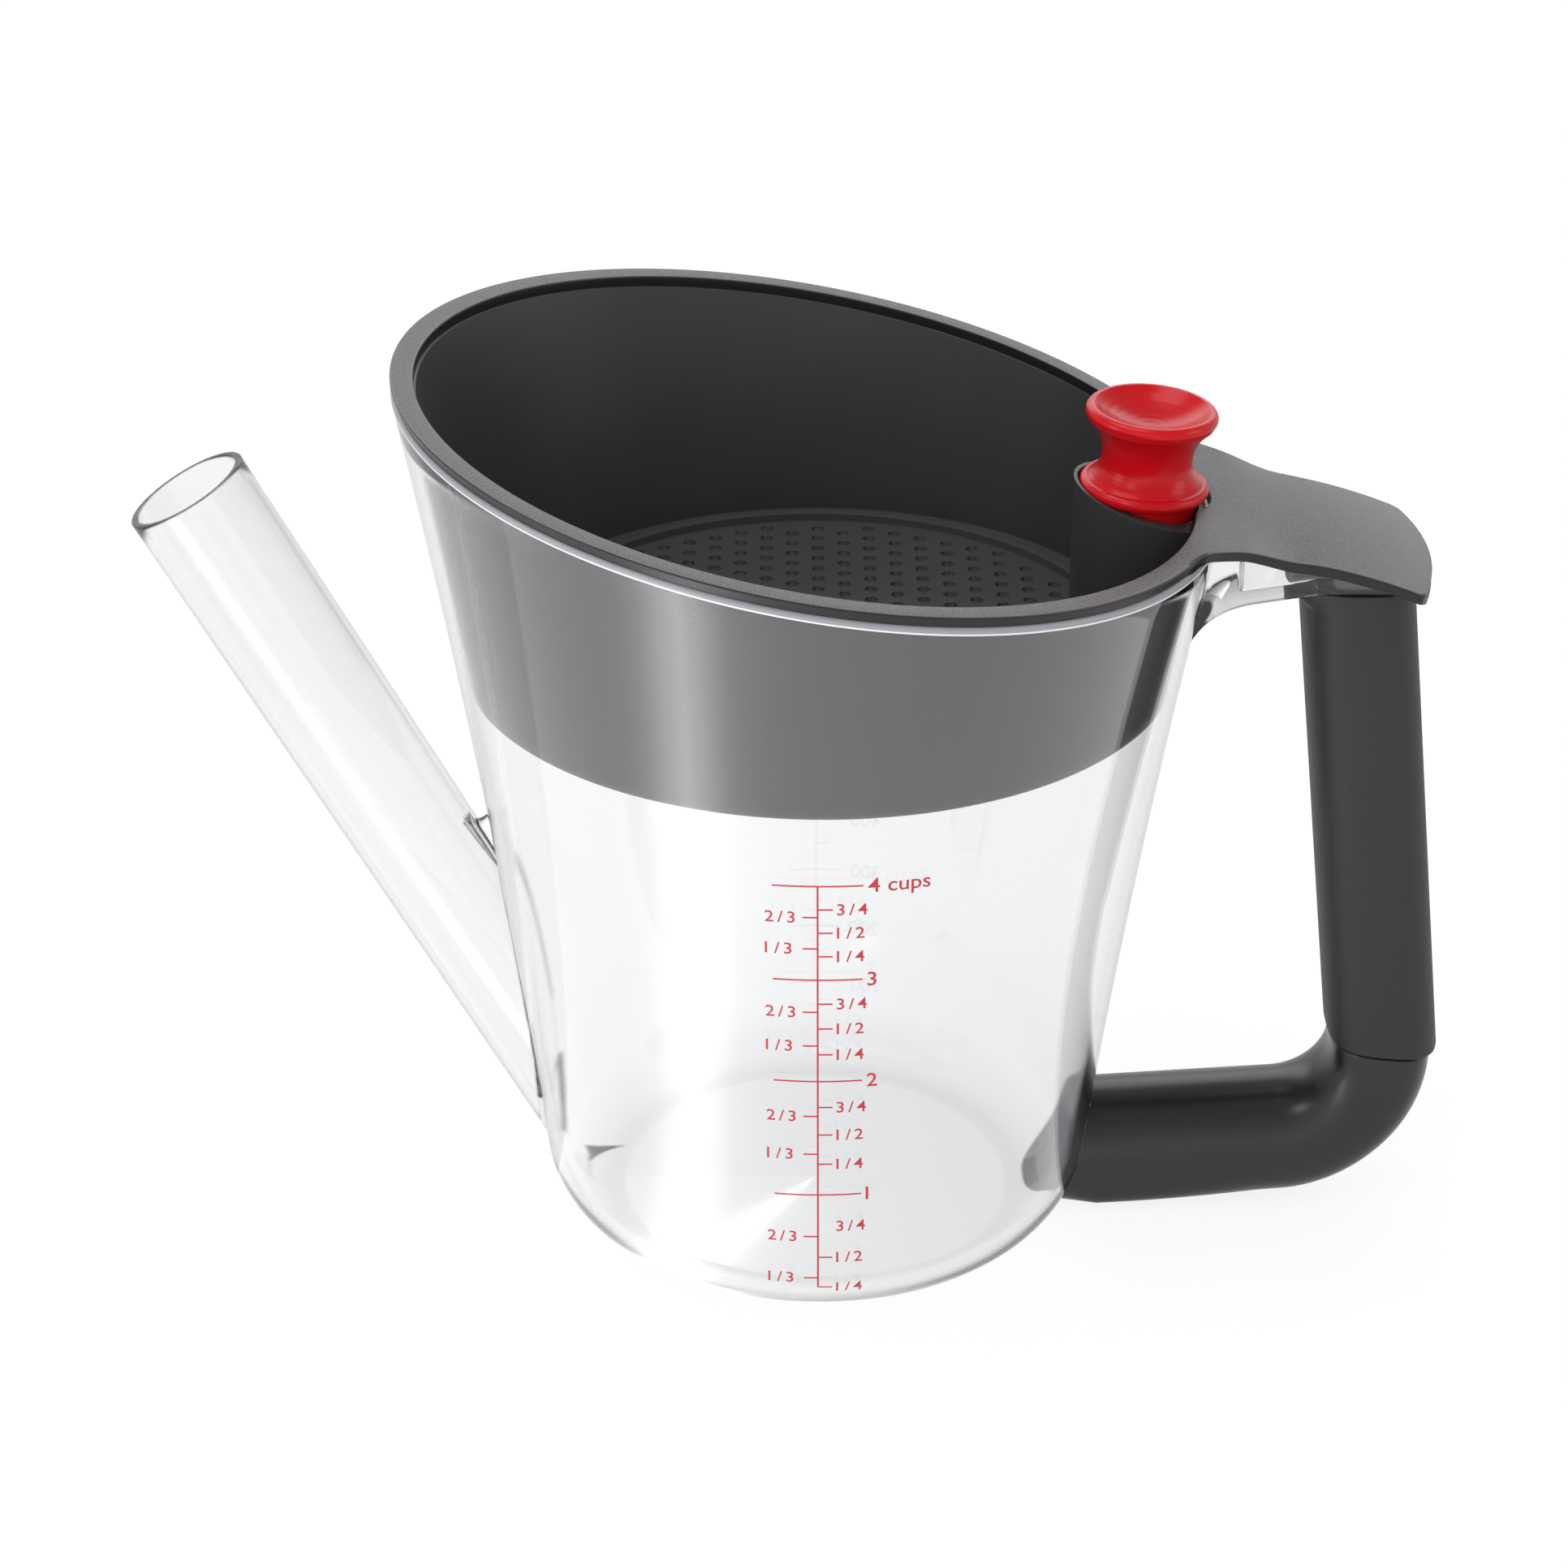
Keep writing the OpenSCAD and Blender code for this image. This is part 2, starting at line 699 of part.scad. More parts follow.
// Side view of the bracket: the tab's underside, and a hollow curve below
function bracket_side(inset) =
    let (steps = bracket_steps, x0 = tab_start_x, x1 = tab_end_x + over, arc_n = steps,
         open = inset > 0 ? bracket_d : 0,
         cx = wall_r(bracket_z - bracket_r) + bracket_r, cz = bracket_z - bracket_r)
    concat([for (i = [0:steps])
                let (x = x0 + i * (x1 - x0) / steps)
                [x, tab_top(x) - tab_crown(x) - tab_t - tab_gap + open]],
           [[x1, bracket_z + inset]],
           [for (i = [0:arc_n])
                let (a = 90 + 90 * i / arc_n)
                [cx + (bracket_r - inset) * cos(a) , cz + (bracket_r + inset) * sin(a)]],
           [[x0, cz]]);

// End view of the bracket: narrow below, as wide as the tab above
function bracket_end(inset) =
    let (foot_w = grip_d / 2 - tab_gap - inset, top_w = tab_half_w - 2 * tab_gap - inset,
         low = bracket_z - 2 * bracket_r, high = bracket_z + bracket_d)
    [[-foot_w, low], [foot_w, low], [foot_w, bracket_z + over], [top_w, high],
     [top_w + bracket_d, high + bracket_d], [-top_w - bracket_d, high + bracket_d],
     [-top_w, high], [-foot_w, bracket_z + over]];

module bracket_shape(inset) {
    intersection() {
        translate([0, big / 4, 0])
            rotate([90, 0, 0]) linear_extrude(big / 2) polygon(bracket_side(inset));
        linear_extrude(big) polygon(bracket_plan(inset));
        rotate([90, 0, 90]) linear_extrude(big) polygon(bracket_end(inset));
    }
}

// Drop of the ribs below the bracket's highest edge
rib_drop = 3;

// The clear bracket: an open-topped channel from the cup's wall to the top of
// the handle, closed over by the tab, with two cross ribs
module handle_bracket() {
    color([0.74, 0.80, 0.84, 0.45])
        difference() {
            bracket_shape(0);
            difference() {
                bracket_shape(bracket_wall);
                for (i = [0.5, 1.5])
                    translate([cup_top_r + i * rib_pitch, -big / 4, 0])
                        cube([rib_t, big / 2, bracket_z + bracket_d - rib_drop]);
            }
            core(core_gap);
            cup_outside();
        }
}

cup();
pour_spout();
handle_bracket();
handle_frame();
handle_grip();
strainer_basket();
strainer_rim();
strainer_floor();
stopper();
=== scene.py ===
import json
import math

import bmesh
import bpy
from mathutils import Matrix, Vector


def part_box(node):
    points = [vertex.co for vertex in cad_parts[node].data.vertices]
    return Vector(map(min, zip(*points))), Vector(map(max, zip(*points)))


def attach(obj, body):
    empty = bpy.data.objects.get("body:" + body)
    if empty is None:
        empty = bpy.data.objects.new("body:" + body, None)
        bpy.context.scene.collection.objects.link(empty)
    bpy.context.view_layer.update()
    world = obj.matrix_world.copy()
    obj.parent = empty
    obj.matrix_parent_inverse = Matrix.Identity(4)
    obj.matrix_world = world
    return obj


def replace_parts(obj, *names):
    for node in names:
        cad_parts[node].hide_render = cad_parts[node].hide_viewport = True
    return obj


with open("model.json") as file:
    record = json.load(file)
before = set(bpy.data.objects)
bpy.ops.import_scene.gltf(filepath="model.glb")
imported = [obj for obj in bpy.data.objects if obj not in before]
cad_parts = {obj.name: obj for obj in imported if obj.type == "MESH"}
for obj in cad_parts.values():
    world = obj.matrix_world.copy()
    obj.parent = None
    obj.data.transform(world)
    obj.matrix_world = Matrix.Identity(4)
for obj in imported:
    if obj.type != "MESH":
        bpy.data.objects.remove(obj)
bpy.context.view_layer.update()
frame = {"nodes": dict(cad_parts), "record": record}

MM = 0.001
nodes = frame["nodes"]
scene = bpy.context.scene
scene.view_settings.view_transform = "Standard"

# ------------------------------------------------------------------ camera
# The jug is seen square on to its handle, from a little above and from some
# way off, with the lens that makes its scale and its rim come out as they do.
PHOTO_PX = 1932
FOCAL_PX = 4985.4
SENSOR_MM = 36
CAMERA_UP = math.radians(27.64)
CAMERA_ROLL = 0.00339
CAMERA_AWAY = 748.07 * MM
CAMERA_AIM = Vector((-6.33, 0, 86.914)) * MM

lens = bpy.data.cameras.new("camera")
lens.sensor_width = SENSOR_MM
lens.lens = FOCAL_PX / PHOTO_PX * SENSOR_MM
lens.clip_start, lens.clip_end = 0.02, 60
camera = bpy.data.objects.new("camera", lens)
scene.collection.objects.link(camera)
back = Vector((0, -math.cos(CAMERA_UP), math.sin(CAMERA_UP)))
camera.matrix_world = (
    Matrix.Translation(CAMERA_AIM + back * CAMERA_AWAY)
    @ Matrix.Rotation(math.pi / 2 - CAMERA_UP, 4, "X")
    @ Matrix.Rotation(CAMERA_ROLL, 4, "Z")
)
scene.camera = camera

# ------------------------------------------------------------------ studio
# A white sweep under soft boxes. The camera sees it white, with a little of the jug's shadow; its
# polish and the clear plastic have levels of floor and sky of their own, with light and shade painted
# on the floor, so that the plastic reads against the white.
FLOOR_HALF = 9.0
FLOOR_PAINT = 0.86
# Brightness of the floor to the eye, and the share of it that is set, not lit
FLOOR_WHITE = 1.12
FLOOR_SHOWN = 0.75
# The floor through the clear plastic is a painted pool of light: bright near the jug, and darker away
# from it
THROUGH_PER_M = 0.25
THROUGH_STOPS = [(0.08, 0.98), (0.22, 0.60)]
# A painted shadow where the foot of the jug touches the table, seen through the jug
CONTACT_PER_M = 10
CONTACT_DEPTH = 0.19
CONTACT_STOPS = [(0.0, 0.3), (0.36, 0.34), (0.40, 1.0), (0.42, 0.5), (0.47, 0.0), (0.6, 0.0)]
# The sky as light, and through the plastic and in its polish: level, and above
SKY_LIGHT = 0.45
SKY_THROUGH_STOPS = [(0.0, 0.70), (0.7, 0.38)]
SKY_MIRRORED_STOPS = [(0.05, 0.95), (0.75, 0.40)]
# The floor in the polish, and a painted glow added to it in each direction that only reflections see,
# a painted highlight on the strainer's wall: from the spout's side, over the front and the handle's
# side, and round to the back
MIRRORED = 0.95
PAINTED_GLOW = 7.5
PAINTED_GLOW_ROUND_STOPS = [
    (0.0, 0.09), (0.06, 0.08), (0.11, 0.10), (0.143, 1.0), (0.152, 1.0), (0.185, 0.10),
    (0.26, 0.08), (0.36, 0.0), (0.5, 0.0),
]


def grey(level):
    return (level, level, level, 1)


class Wire:
    """What a node puts out, so that sums and products of wires add Math nodes."""

    def __init__(self, finish, socket):
        self.finish, self.socket = finish, socket

    def math(self, operation, first, second):
        return self.finish.node(
            "ShaderNodeMath", {"operation": operation}, {0: first, 1: second}
        )

    def __add__(self, other):
        return self.math("ADD", self, other)

    def __sub__(self, other):
        return self.math("SUBTRACT", self, other)

    def __rsub__(self, other):
        return self.math("SUBTRACT", other, self)

    def __mul__(self, other):
        return self.math("MULTIPLY", self, other)

    __radd__ = __add__


class Finish:
    """A material, or the world, whose nodes are put together one by one."""

    def __init__(self, owner):
        self.owner = owner
        owner.use_nodes = True
        self.tree = owner.node_tree
        self.tree.nodes.clear()

    def node(self, kind, settings=None, inputs=None, out=0):
        made = self.tree.nodes.new(kind)
        for name, value in (settings or {}).items():
            if name == "stops":
                self.stops(made.color_ramp, value)
            else:
                setattr(made, name, value)
        for name, value in (inputs or {}).items():
            if isinstance(value, Wire):
                self.tree.links.new(value.socket, made.inputs[name])
            else:
                made.inputs[name].default_value = value
        return Wire(self, made.outputs[out]) if made.outputs else made

    def stops(self, ramp, values):
        ramp.interpolation = "EASE" if len(values) < 3 else "B_SPLINE"
        while len(ramp.elements) < len(values):
            ramp.elements.new(0.5)
        for element, (place, level) in zip(ramp.elements, values):
            element.position, element.color = place, grey(level)

    def ramp(self, stops, value):
        return self.node("ShaderNodeValToRGB", {"stops": stops}, {0: value})

    def ray(self, *kinds):
        """1 on rays of any of these kinds."""
        seen = [self.node("ShaderNodeLightPath", out=f"Is {kind} Ray") for kind in kinds]
        total = sum(seen[1:], seen[0])
        return self.node("ShaderNodeMath", {"operation": "MINIMUM"}, {0: total, 1: 1.0})

    def grain(self, scale, detail, roughness=0.5, stretch=(1, 1, 1)):
        """Noise of that many waves to the metre, fixed to the piece."""
        place = self.node("ShaderNodeTexCoord", out="Object")
        place = self.node("ShaderNodeMapping", inputs={"Vector": place, "Scale": stretch})
        return self.node(
            "ShaderNodeTexNoise",
            inputs={"Vector": place, "Scale": scale, "Detail": detail, "Roughness": roughness},
        )

    def bump(self, height, depth, strength, edge=0):
        """Bumps of that depth, over edges that look as round as a radius."""
        inputs = {"Height": height, "Distance": depth, "Strength": strength}
        if edge:
            inputs["Normal"] = self.node("ShaderNodeBevel", {"samples": 4}, {"Radius": edge})
        return self.node("ShaderNodeBump", inputs=inputs)

    def mix_colour(self, share, first, second):
        return self.node(
            "ShaderNodeMix", {"data_type": "RGBA"}, {0: share, 6: first, 7: second}, out=2
        )

    def plastic(self, **inputs):
        names = {name.replace("_", " "): value for name, value in inputs.items()}
        return self.node("ShaderNodeBsdfPrincipled", inputs=names)

    def mix(self, share, first, second):
        return self.node("ShaderNodeMixShader", inputs={0: share, 1: first, 2: second})

    def show(self, surface, volume=None):
        inputs = {"Surface": surface}
        if volume:
            inputs["Volume"] = volume
        kind = "World" if isinstance(self.owner, bpy.types.World) else "Material"
        self.node(f"ShaderNodeOutput{kind}", inputs=inputs)
        return self.owner


def new_finish(name):
    return Finish(bpy.data.materials.new(name))


def add_object(name, mesh, material=None):
    made = bpy.data.objects.new(name, mesh)
    scene.collection.objects.link(made)
    if material:
        mesh.materials.append(material)
    return made


sky = Finish(bpy.data.worlds.new("studio_sky"))
ray_up = sky.node(
    "ShaderNodeSeparateXYZ", inputs={0: sky.node("ShaderNodeTexCoord", out="Generated")}, out=2
)


def backdrop(colour):
    return sky.node("ShaderNodeBackground", inputs={"Color": colour})


scene.world = sky.show(
    sky.mix(
        sky.ray("Camera"),
        sky.mix(
            sky.ray("Transmission"),
            sky.mix(
                sky.ray("Glossy"),
                backdrop(grey(SKY_LIGHT)),
                backdrop(sky.ramp(SKY_MIRRORED_STOPS, ray_up)),
            ),
            backdrop(sky.ramp(SKY_THROUGH_STOPS, ray_up)),
        ),
        backdrop(grey(1)),
    )
)

paper = new_finish("studio_paper")
on_floor = paper.node("ShaderNodeTexCoord", out="Object")
round_jug = paper.node(
    "ShaderNodeTexGradient", {"gradient_type": "RADIAL"}, {0: on_floor}, out="Fac"
)
away = paper.node("ShaderNodeVectorMath", {"operation": "LENGTH"}, {0: on_floor}, out="Value")
# Painted glow on the floor, seen only in the polish of the pieces
in_polish_with_painted_glow = MIRRORED + paper.ramp(PAINTED_GLOW_ROUND_STOPS, round_jug) * PAINTED_GLOW
# Painted shadow round the jug's foot, seen only through the plastic
painted_contact_shadow = paper.ramp(CONTACT_STOPS, away * CONTACT_PER_M)
# Painted pool of light on the floor, seen only through the clear plastic, with the painted contact
# shadow in it
through = paper.ramp(THROUGH_STOPS, away * THROUGH_PER_M) * (1 - painted_contact_shadow * CONTACT_DEPTH)
set_level = (
    paper.ray("Camera") * FLOOR_WHITE
    + paper.ray("Transmission") * through
    + (paper.ray("Glossy") - paper.ray("Transmission")) * in_polish_with_painted_glow
)
floor_finish = paper.show(
    paper.mix(
        paper.ray("Camera", "Glossy", "Transmission") * FLOOR_SHOWN,
        paper.node("ShaderNodeBsdfDiffuse", inputs={"Color": grey(FLOOR_PAINT)}),
        paper.node("ShaderNodeEmission", inputs={"Color": grey(1), "Strength": set_level}),
    )
)
floor_mesh = bpy.data.meshes.new("studio_floor")
floor_corners = [
    (x * FLOOR_HALF, y * FLOOR_HALF, 0) for x, y in ((-1, -1), (1, -1), (1, 1), (-1, 1))
]
floor_mesh.from_pydata(floor_corners, [], [(0, 1, 2, 3)])
add_object("studio_floor", floor_mesh, floor_finish)


JUG_MIDDLE = Vector((0, 0, 0.09))


def soft_box(name, place, size, watts, mirrored=True):
    """A lamp that the camera doesn't see, and the gloss of the pieces only if mirrored."""
    light = bpy.data.lights.new(name, "AREA")
    light.shape, light.size, light.size_y = "RECTANGLE", size[0], size[1]
    light.energy = watts
    lamp = bpy.data.objects.new(name, light)
    scene.collection.objects.link(lamp)
    lamp.location = place
    lamp.rotation_mode = "QUATERNION"
    lamp.rotation_quaternion = (JUG_MIDDLE - lamp.location).to_track_quat("-Z", "Y")
    lamp.visible_camera = False
    lamp.visible_transmission = False
    lamp.visible_glossy = mirrored


soft_box("back_box", (0.0, 1.25, 0.80), (1.7, 0.6), 5.0)
soft_box("front_box", (-0.3, -1.2, 0.45), (1.0, 0.8), 7.0, mirrored=False)
soft_box("glint_box", (-0.51, -0.75, 0.90), (0.3, 0.3), 1.3)
soft_box("top_box", (-0.2, 0.1, 1.2), (0.6, 0.6), 3.0)
soft_box("left_box", (-1.0, -0.35, 0.55), (0.35, 0.8), 2.2)
soft_box("right_box", (1.05, -0.1, 0.6), (0.4, 0.8), 1.6)

# --------------------------------------------------------- jug: clear moulding
# Cup, spout, web and handle bracket are one injection moulding in clear hard
# plastic, about 2 mm thick, polished, with faint flow waves from the mould.
FOOT_R = 50.2 * MM
GAUGE_R = 72.2 * MM
GAUGE_Z = 150 * MM
WALL_BOW = 1.4 * MM
WALL_T = 2.0 * MM
FLOOR_T = 2.4 * MM
CORNER_R = 14.8 * MM
RIM_Z = 157.4 * MM
RIM_T = 2.0 * MM
RIM_TILT = math.radians(9.95)
LIP_R = 1.4 * MM
INNER_LIP_R = 0.4 * MM
LIP_STEPS = 8
AROUND_CUP = 192
CORNER_ROWS = 12
WALL_ROWS = 28
SMOOTH_BELOW = math.radians(24)
SETTLING_ROUNDS = 8


def wall_r(z):
    """Outer radius of the flared wall at a height."""
    share = z / GAUGE_Z
    return FOOT_R + (GAUGE_R - FOOT_R) * share - 4 * WALL_BOW * share * (1 - share)


def wall_lean(z):
    return math.atan((GAUGE_R - FOOT_R - 4 * WALL_BOW * (1 - 2 * z / GAUGE_Z)) / GAUGE_Z)


def edge_z(turn, inset, drop):
    """Height at which a wall moved in by inset meets the slope, drop below the rim's top."""
    z = RIM_Z
    for _ in range(SETTLING_ROUNDS):
        z = RIM_Z - drop - (wall_r(z) - inset) * math.cos(turn) * math.tan(RIM_TILT)
    return z


def foot_r(z):
    """Outer radius of the cup at a height, with the round corner of its foot."""
    lean = wall_lean(CORNER_R)
    arc_top = CORNER_R * (1 - math.sin(lean))
    if z > arc_top:
        return wall_r(z)
    return wall_r(arc_top) + math.sqrt(CORNER_R ** 2 - (CORNER_R - z) ** 2) - CORNER_R * math.cos(lean)


def spaced(start, end, count):
    """Places at even steps from start to end, with both of them."""
    return [start + (end - start) * i / count for i in range(count + 1)]


def wall_column(inset, floor, corner, top):
    """Half outline of a cup shape: out along its corner, then up its wall."""
    lean = wall_lean(floor + corner)
    arc_top = floor + corner * (1 - math.sin(lean))
    arc_x = wall_r(arc_top) - inset - corner * math.cos(lean)
    column = []
    for i in range(CORNER_ROWS + 1):
        turn = (math.pi / 2 - lean) * i / CORNER_ROWS - math.pi / 2
        column.append(
            Vector((arc_x + corner * math.cos(turn), floor + corner + corner * math.sin(turn)))
        )
    column += [Vector((wall_r(z) - inset, z)) for z in spaced(arc_top, top, WALL_ROWS)[1:]]
    return column


def rounded(before, corner, after, radius, steps=4):
    """Points that round a corner off between the points on either side of it."""
    start = corner + (before - corner).normalized() * radius
    end = corner + (after - corner).normalized() * radius
    shares = [i / steps for i in range(steps + 1)]
    return [start * (1 - t) ** 2 + corner * 2 * t * (1 - t) + end * t * t for t in shares]


def turns(count):
    return [2 * math.pi * i / count for i in range(count)]


def skin(rows, closed=False):
    """A closed mesh through loops of points, its ends shut or joined to each other."""
    work = bmesh.new()
    loops = [[work.verts.new(point) for point in row] for row in rows]
    pairs = list(zip(loops, loops[1:]))
    if closed:
        pairs.append((loops[-1], loops[0]))
    else:
        work.faces.new(reversed(loops[0]))
        work.faces.new(loops[-1])
    for low, high in pairs:
        for i in range(len(low)):
            j = (i + 1) % len(low)
            work.faces.new((low[i], low[j], high[j], high[i]))
    bmesh.ops.recalc_face_normals(work, faces=work.faces)
    return work


def revolved(columns):
    """The skin of half outlines, one for each turn round the cup's axis."""
    around = turns(len(columns))
    return skin([
        [(p.x * math.cos(turn), p.x * math.sin(turn), p.y) for p, turn in zip(row, around)]
        for row in zip(*columns)
    ])


def finish_mesh(work, name):
    """A mesh that shades smooth but for its sharp edges."""
    mesh = bpy.data.meshes.new(name)
    work.to_mesh(mesh)
    work.free()
    mesh.shade_smooth()
    mesh.set_sharp_from_angle(angle=SMOOTH_BELOW)
    return mesh


def cup_column(turn):
    outer = wall_column(0, 0, CORNER_R, edge_z(turn, 0, RIM_T))
    inner = wall_column(WALL_T, FLOOR_T, CORNER_R - WALL_T, edge_z(turn, WALL_T, RIM_T))
    return (
        outer[:-1]
        + rounded(outer[-2], outer[-1], inner[-1], LIP_R, LIP_STEPS)
        + rounded(outer[-1], inner[-1], inner[-2], INNER_LIP_R)
        + inner[-2::-1]
    )


# The spout is a straight tube whose bore opens into the cup through a low port
MOUTH_R = 11.5 * MM
SPOUT_FOOT_R = 10.8 * MM
BORE_FOOT_R = 9.4 * MM
SPOUT_LOW_Z = 8.14 * MM
MOUTH_LIP_R = 0.35 * MM
PORT_TOP_Z = 24 * MM
PORT_SHY = 0.05 * MM
AROUND_TUBE = 96
TUBE_ROWS = 30
SEAT_ROWS = 4
mouth = next(m for m in frame["record"]["mounts"] if m["name"] == "spout_mouth")
MOUTH = Vector(mouth["pos_m"])
ALONG_SPOUT = Vector(mouth["axis"]).normalized()
SEAT_R = mouth["dims"]["r_mm"] * MM
SEAT_LEN = mouth["dims"]["length_mm"] * MM
SPOUT_LEN = MOUTH.z / ALONG_SPOUT.z
SPOUT_TAPER = (MOUTH_R - SPOUT_FOOT_R) / SPOUT_LEN
BORE_TAPER = (SEAT_R - BORE_FOOT_R) / (SPOUT_LEN - SEAT_LEN)
# Radius that the bore's taper would reach at the mouth
BORE_R = SEAT_R + BORE_TAPER * SEAT_LEN
Y_AXIS = Vector((0, 1, 0))
UP_SPOUT = Y_AXIS.cross(ALONG_SPOUT)


def on_spout(turn, down, radius):
    """The point that far down the spout's axis from its mouth, and that far off it."""
    side = UP_SPOUT * math.cos(turn) + Y_AXIS * math.sin(turn)
    return MOUTH - ALONG_SPOUT * down + side * radius


def down_to(z, turn, radius, taper):
    """How far down the axis the side of a tapered tube comes to a height."""
    rise = UP_SPOUT.z * math.cos(turn)
    return (MOUTH.z + rise * radius - z) / (ALONG_SPOUT.z + rise * taper)


def tube_side(turn, radius, taper, ends, count):
    """Points along a straight line down the side of a tapered tube."""
    return [on_spout(turn, down, radius - taper * down) for down in spaced(*ends, count)]


def tube_column(turn):
    low = down_to(SPOUT_LOW_Z, turn, MOUTH_R, SPOUT_TAPER)
    bore_low = down_to(SPOUT_LOW_Z, turn, BORE_R, BORE_TAPER)
    outside = tube_side(turn, MOUTH_R, SPOUT_TAPER, (low, 0), TUBE_ROWS)
    seat = tube_side(turn, SEAT_R, 0, (0, SEAT_LEN), SEAT_ROWS)
    bore = tube_side(turn, BORE_R, BORE_TAPER, (SEAT_LEN, bore_low), TUBE_ROWS)
    return (
        outside[:-1]
        + rounded(outside[-2], outside[-1], seat[0], MOUTH_LIP_R)
        + rounded(outside[-1], seat[0], seat[1], MOUTH_LIP_R)
        + seat[1:]
        + bore[1:]
    )


def port_column(turn):
    ends = [down_to(z, turn, BORE_R, BORE_TAPER) for z in (FLOOR_T + PORT_SHY, PORT_TOP_Z)]
    return tube_side(turn, BORE_R - PORT_SHY, BORE_TAPER, ends, 1)


# A web fills the crotch between tube and wall, its top edge hollow and round. It
# and the other parts start this far inside the wall.
SUNK = 1.0 * MM
WEB_TOP_Z = 81.4 * MM
WEB_LOW_Z = 68 * MM
WEB_HALF_T = 1.1 * MM
WEB_HOLLOW_R = 3 * MM
WEB_ROOT = 0.7 * MM
# Degrees along the hollow of its edge, and across its thickness
WEB_HOLLOW_TURNS = range(-130, 0, 10)
WEB_LAYER_TURNS = range(-90, 91, 15)


def web_layer(turn):
    """Outline of the web, a share of its thickness away from its middle."""
    y = WEB_HALF_T * math.sin(turn)
    hollow = WEB_HOLLOW_R + WEB_HALF_T * (1 - math.cos(turn))
    centre = Vector((-wall_r(WEB_TOP_Z) - WEB_HOLLOW_R, WEB_TOP_Z + WEB_HOLLOW_R / 3))
    in_tube = on_spout(0, down_to(WEB_LOW_Z, 0, BORE_R, BORE_TAPER), BORE_R - WEB_ROOT)
    outline = [(min(in_tube.x, -wall_r(WEB_LOW_Z)), y, WEB_LOW_Z)]
    for a in map(math.radians, WEB_HOLLOW_TURNS):
        outline.append((centre.x + hollow * math.cos(a), y, centre.y + hollow * math.sin(a)))
    outline.append((-wall_r(WEB_TOP_Z) + SUNK, y, WEB_TOP_Z + WEB_HALF_T))
    outline.append((-wall_r(WEB_LOW_Z) + SUNK, y, WEB_LOW_Z))
    return outline


def oval(half_w, half_d, power):
    """Outline of a round-cornered section: the higher the power, the squarer."""
    outline = []
    for turn in turns(AROUND_TUBE):
        across, deep = math.cos(turn), math.sin(turn)
        outline.append(Vector((
            math.copysign(abs(across) ** (2 / power), across) * half_w,
            math.copysign(abs(deep) ** (2 / power), deep) * half_d,
        )))
    return outline


# Rim and tab of the strainer, which lies on the cup and covers the bracket
TAB_HALF_W = 19.8 * MM
TAB_T = 2.2 * MM
TAB_FREE_X = 72.5 * MM
BEND_X = 84 * MM
BEND_R = 100 * MM
CROWN = 1.5 * MM


def rim_at(x):
    return RIM_Z - x * math.tan(RIM_TILT)


def eased(t):
    t = min(1, max(0, t))
    return t * t * (3 - 2 * t)


def plate_top(x, y):
    """Height of the top face of rim and tab."""
    top = rim_at(x)
    if x > BEND_X:
        bend = math.asin(min(1, math.sin(RIM_TILT) + (x - BEND_X) / BEND_R))
        top = rim_at(BEND_X) - BEND_R * (math.cos(RIM_TILT) - math.cos(bend))
    share = eased((x - TAB_FREE_X) / (BEND_X - TAB_FREE_X))
    return top - CROWN * share * (y / TAB_HALF_W) ** 2


def plate_depth(x):
    share = eased((x - TAB_FREE_X) / (BEND_X - TAB_FREE_X))
    return RIM_T + (TAB_T - RIM_T) * share


# The bracket is solid at the cup, and goes on as a channel that is open above and
# closed over by the tab; the core of the handle stands up through its floor
BRACKET_HALF_W = 11.5 * MM
BRACKET_WALL = 2.2 * MM
BRACKET_END_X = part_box("handle_bracket")[1].x
BRACKET_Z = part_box("handle_grip")[1].z
BRACKET_EDGE_R = 0.45 * MM
UNDER_TAB = 0.5 * MM
ROOT_X = 55 * MM
CHANNEL_X = 74.2 * MM
CHANNEL_EDGE_R = 0.9 * MM
ARCH_FOOT = Vector((63.7, 110)) * MM
ARCH_CORNER = Vector((66.3, 127.2)) * MM
ARCH_TOP = Vector((88.5 * MM, BRACKET_Z))
ARCH_R = 11 * MM
ARCH_STEPS = 16
GRIP_MID = Vector((102.2, 81.73)) * MM
GRIP_LEAN = math.radians(6.6)
CORE_HALF_W = 8.1 * MM
CORE_HALF_D = 9.4 * MM
CORE_POWER = 4
CORE_GAP = 0.1 * MM
TENON = 3 * MM


def grip_at(z):
    return GRIP_MID.x - (z - GRIP_MID.y) * math.tan(GRIP_LEAN)


def slab(outline, half_w, edge):
    """A side view drawn out to both sides, with its edges rounded."""
    work = skin([[(p.x, y, p.y) for p in outline] for y in (-half_w, half_w)])
    sharp = [e for e in work.edges if e.calc_face_angle(0) > SMOOTH_BELOW * 2]
    bmesh.ops.bevel(
        work, geom=sharp, offset=edge, segments=3, profile=0.5, affect="EDGES", clamp_overlap=True
    )
    return work


def bracket_tool():
    arch = rounded(ARCH_FOOT, ARCH_CORNER, ARCH_TOP, ARCH_R, ARCH_STEPS)
    top = [
        Vector((x, plate_top(x, BRACKET_HALF_W) - plate_depth(x) - UNDER_TAB))
        for x in spaced(BRACKET_END_X, ROOT_X, ARCH_STEPS)
    ]
    lower = [Vector((ROOT_X, arch[0].y))] + arch + [ARCH_TOP, Vector((BRACKET_END_X, BRACKET_Z))]
    return slab(lower + top, BRACKET_HALF_W, BRACKET_EDGE_R)


